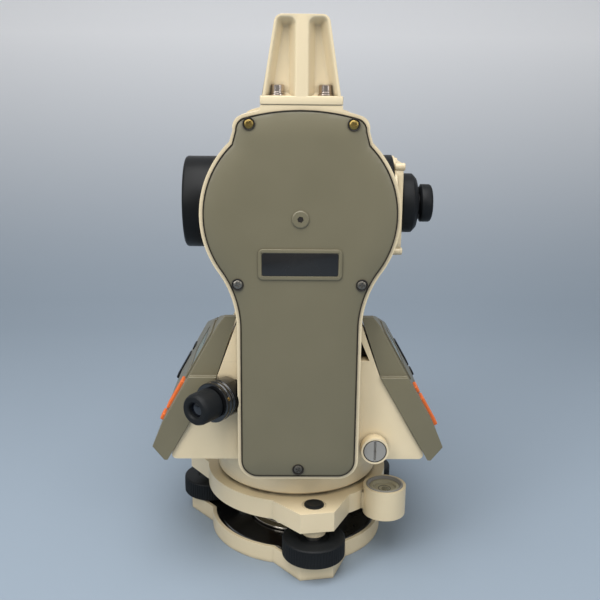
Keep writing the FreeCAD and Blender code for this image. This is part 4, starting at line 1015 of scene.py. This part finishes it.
def makePaperWithPaintedLight():
    # painted light: the paper is darker on the ground and painted brighter up the wall, where the lamps fall
    # on it more
    paintedLight = {"ground": tone(142, 155, 168), "wall": tone(252, 253, 255), "upTo": 0.42, "rough": 0.9}
    paperPaintedLight = bpy.data.materials.new("paperPaintedLight")
    paperPaintedLight.use_nodes = True
    tree = paperPaintedLight.node_tree
    coat = tree.nodes["Principled BSDF"]
    place = tree.nodes.new("ShaderNodeTexCoord")
    split = tree.nodes.new("ShaderNodeSeparateXYZ")
    tree.links.new(place.outputs["Object"], split.inputs["Vector"])
    # painted light: the colour brightens with height up the wall
    height = remap(tree, split.outputs["Z"], 0.0, paintedLight["upTo"], 0.0, 1.0)
    shade = blendColors(tree, height, paintedLight["ground"], paintedLight["wall"])
    tree.links.new(shade, coat.inputs["Base Color"])
    coat.inputs["Roughness"].default_value = paintedLight["rough"]
    return paperPaintedLight


def makeStage():
    sweep = {"half": 3.2, "front": -1.6, "back": 1.7, "rise": 2.6, "curve": 1.2}
    bm = bmesh.new()
    path = [bm.verts.new((-sweep["half"], y, z))
            for y, z in ((sweep["front"], 0), (sweep["back"], 0), (sweep["back"], sweep["rise"]))]
    for pair in zip(path, path[1:]):
        bm.edges.new(pair)
    bmesh.ops.bevel(bm, geom=[path[1]], offset=sweep["curve"], offset_type="OFFSET", segments=16,
                    profile=0.5, affect="VERTICES", material=-1)
    extruded(bm, bm.edges[:], (2 * sweep["half"], 0, 0))
    bmesh.ops.recalc_face_normals(bm, faces=bm.faces)
    mesh = bpy.data.meshes.new("paperSweep")
    bm.to_mesh(mesh)
    bm.free()
    mesh.shade_smooth()
    backdrop = bpy.data.objects.new("paperSweep", mesh)
    bpy.context.scene.collection.objects.link(backdrop)
    mesh.materials.append(makePaperWithPaintedLight())


def makeLight(name, place, target, size, power):
    lamp = bpy.data.lights.new(name, "AREA")
    lamp.shape = "RECTANGLE"
    lamp.size, lamp.size_y = size
    lamp.energy = power
    obj = bpy.data.objects.new(name, lamp)
    bpy.context.scene.collection.objects.link(obj)
    obj.location = place
    obj.rotation_euler = (Vector(target) - Vector(place)).to_track_quat("-Z", "Y").to_euler()


def makeCamera():
    eye = {"place": (-0.0072, -0.545, 0.3007), "turn": 0.9, "tilt": 14.15, "roll": 0.56, "lens": 49.93}
    cam = bpy.data.cameras.new("camera")
    cam.lens = eye["lens"]
    cam.sensor_width = 36
    cam.clip_start = 0.01
    obj = bpy.data.objects.new("camera", cam)
    bpy.context.scene.collection.objects.link(obj)
    level = Matrix.Rotation(math.radians(-eye["turn"]), 4, "Z")
    down = Matrix.Rotation(math.radians(90 - eye["tilt"]), 4, "X")
    roll = Matrix.Rotation(math.radians(eye["roll"]), 4, "Z")
    obj.matrix_world = Matrix.Translation(eye["place"]) @ level @ down @ roll
    bpy.context.scene.camera = obj


lamps = {
    "overhead": {"place": (-0.1, -0.3, 1.05), "target": (0, 0, 0.2), "size": (0.9, 0.9), "power": 11.5},
    "left": {"place": (-0.85, -0.95, 0.78), "target": (0, 0, 0.22), "size": (0.5, 0.8), "power": 5.4},
    "right": {"place": (0.9, -0.95, 0.66), "target": (0, 0, 0.22), "size": (0.45, 0.7), "power": 3.2},
    "front": {"place": (0.05, -1.2, 1.2), "target": (0, 0, 0.2), "size": (0.8, 0.5), "power": 2.6},
}
sky = {"Color": (0.97, 0.98, 1.0, 1), "Strength": 0.34}
makeStage()
for lampName, lamp in lamps.items():
    makeLight(lampName, **lamp)
makeCamera()
world = bpy.context.scene.world or bpy.data.worlds.new("world")
bpy.context.scene.world = world
world.use_nodes = True
for label, value in sky.items():
    world.node_tree.nodes["Background"].inputs[label].default_value = value
bpy.context.scene.view_settings.view_transform = "Standard"
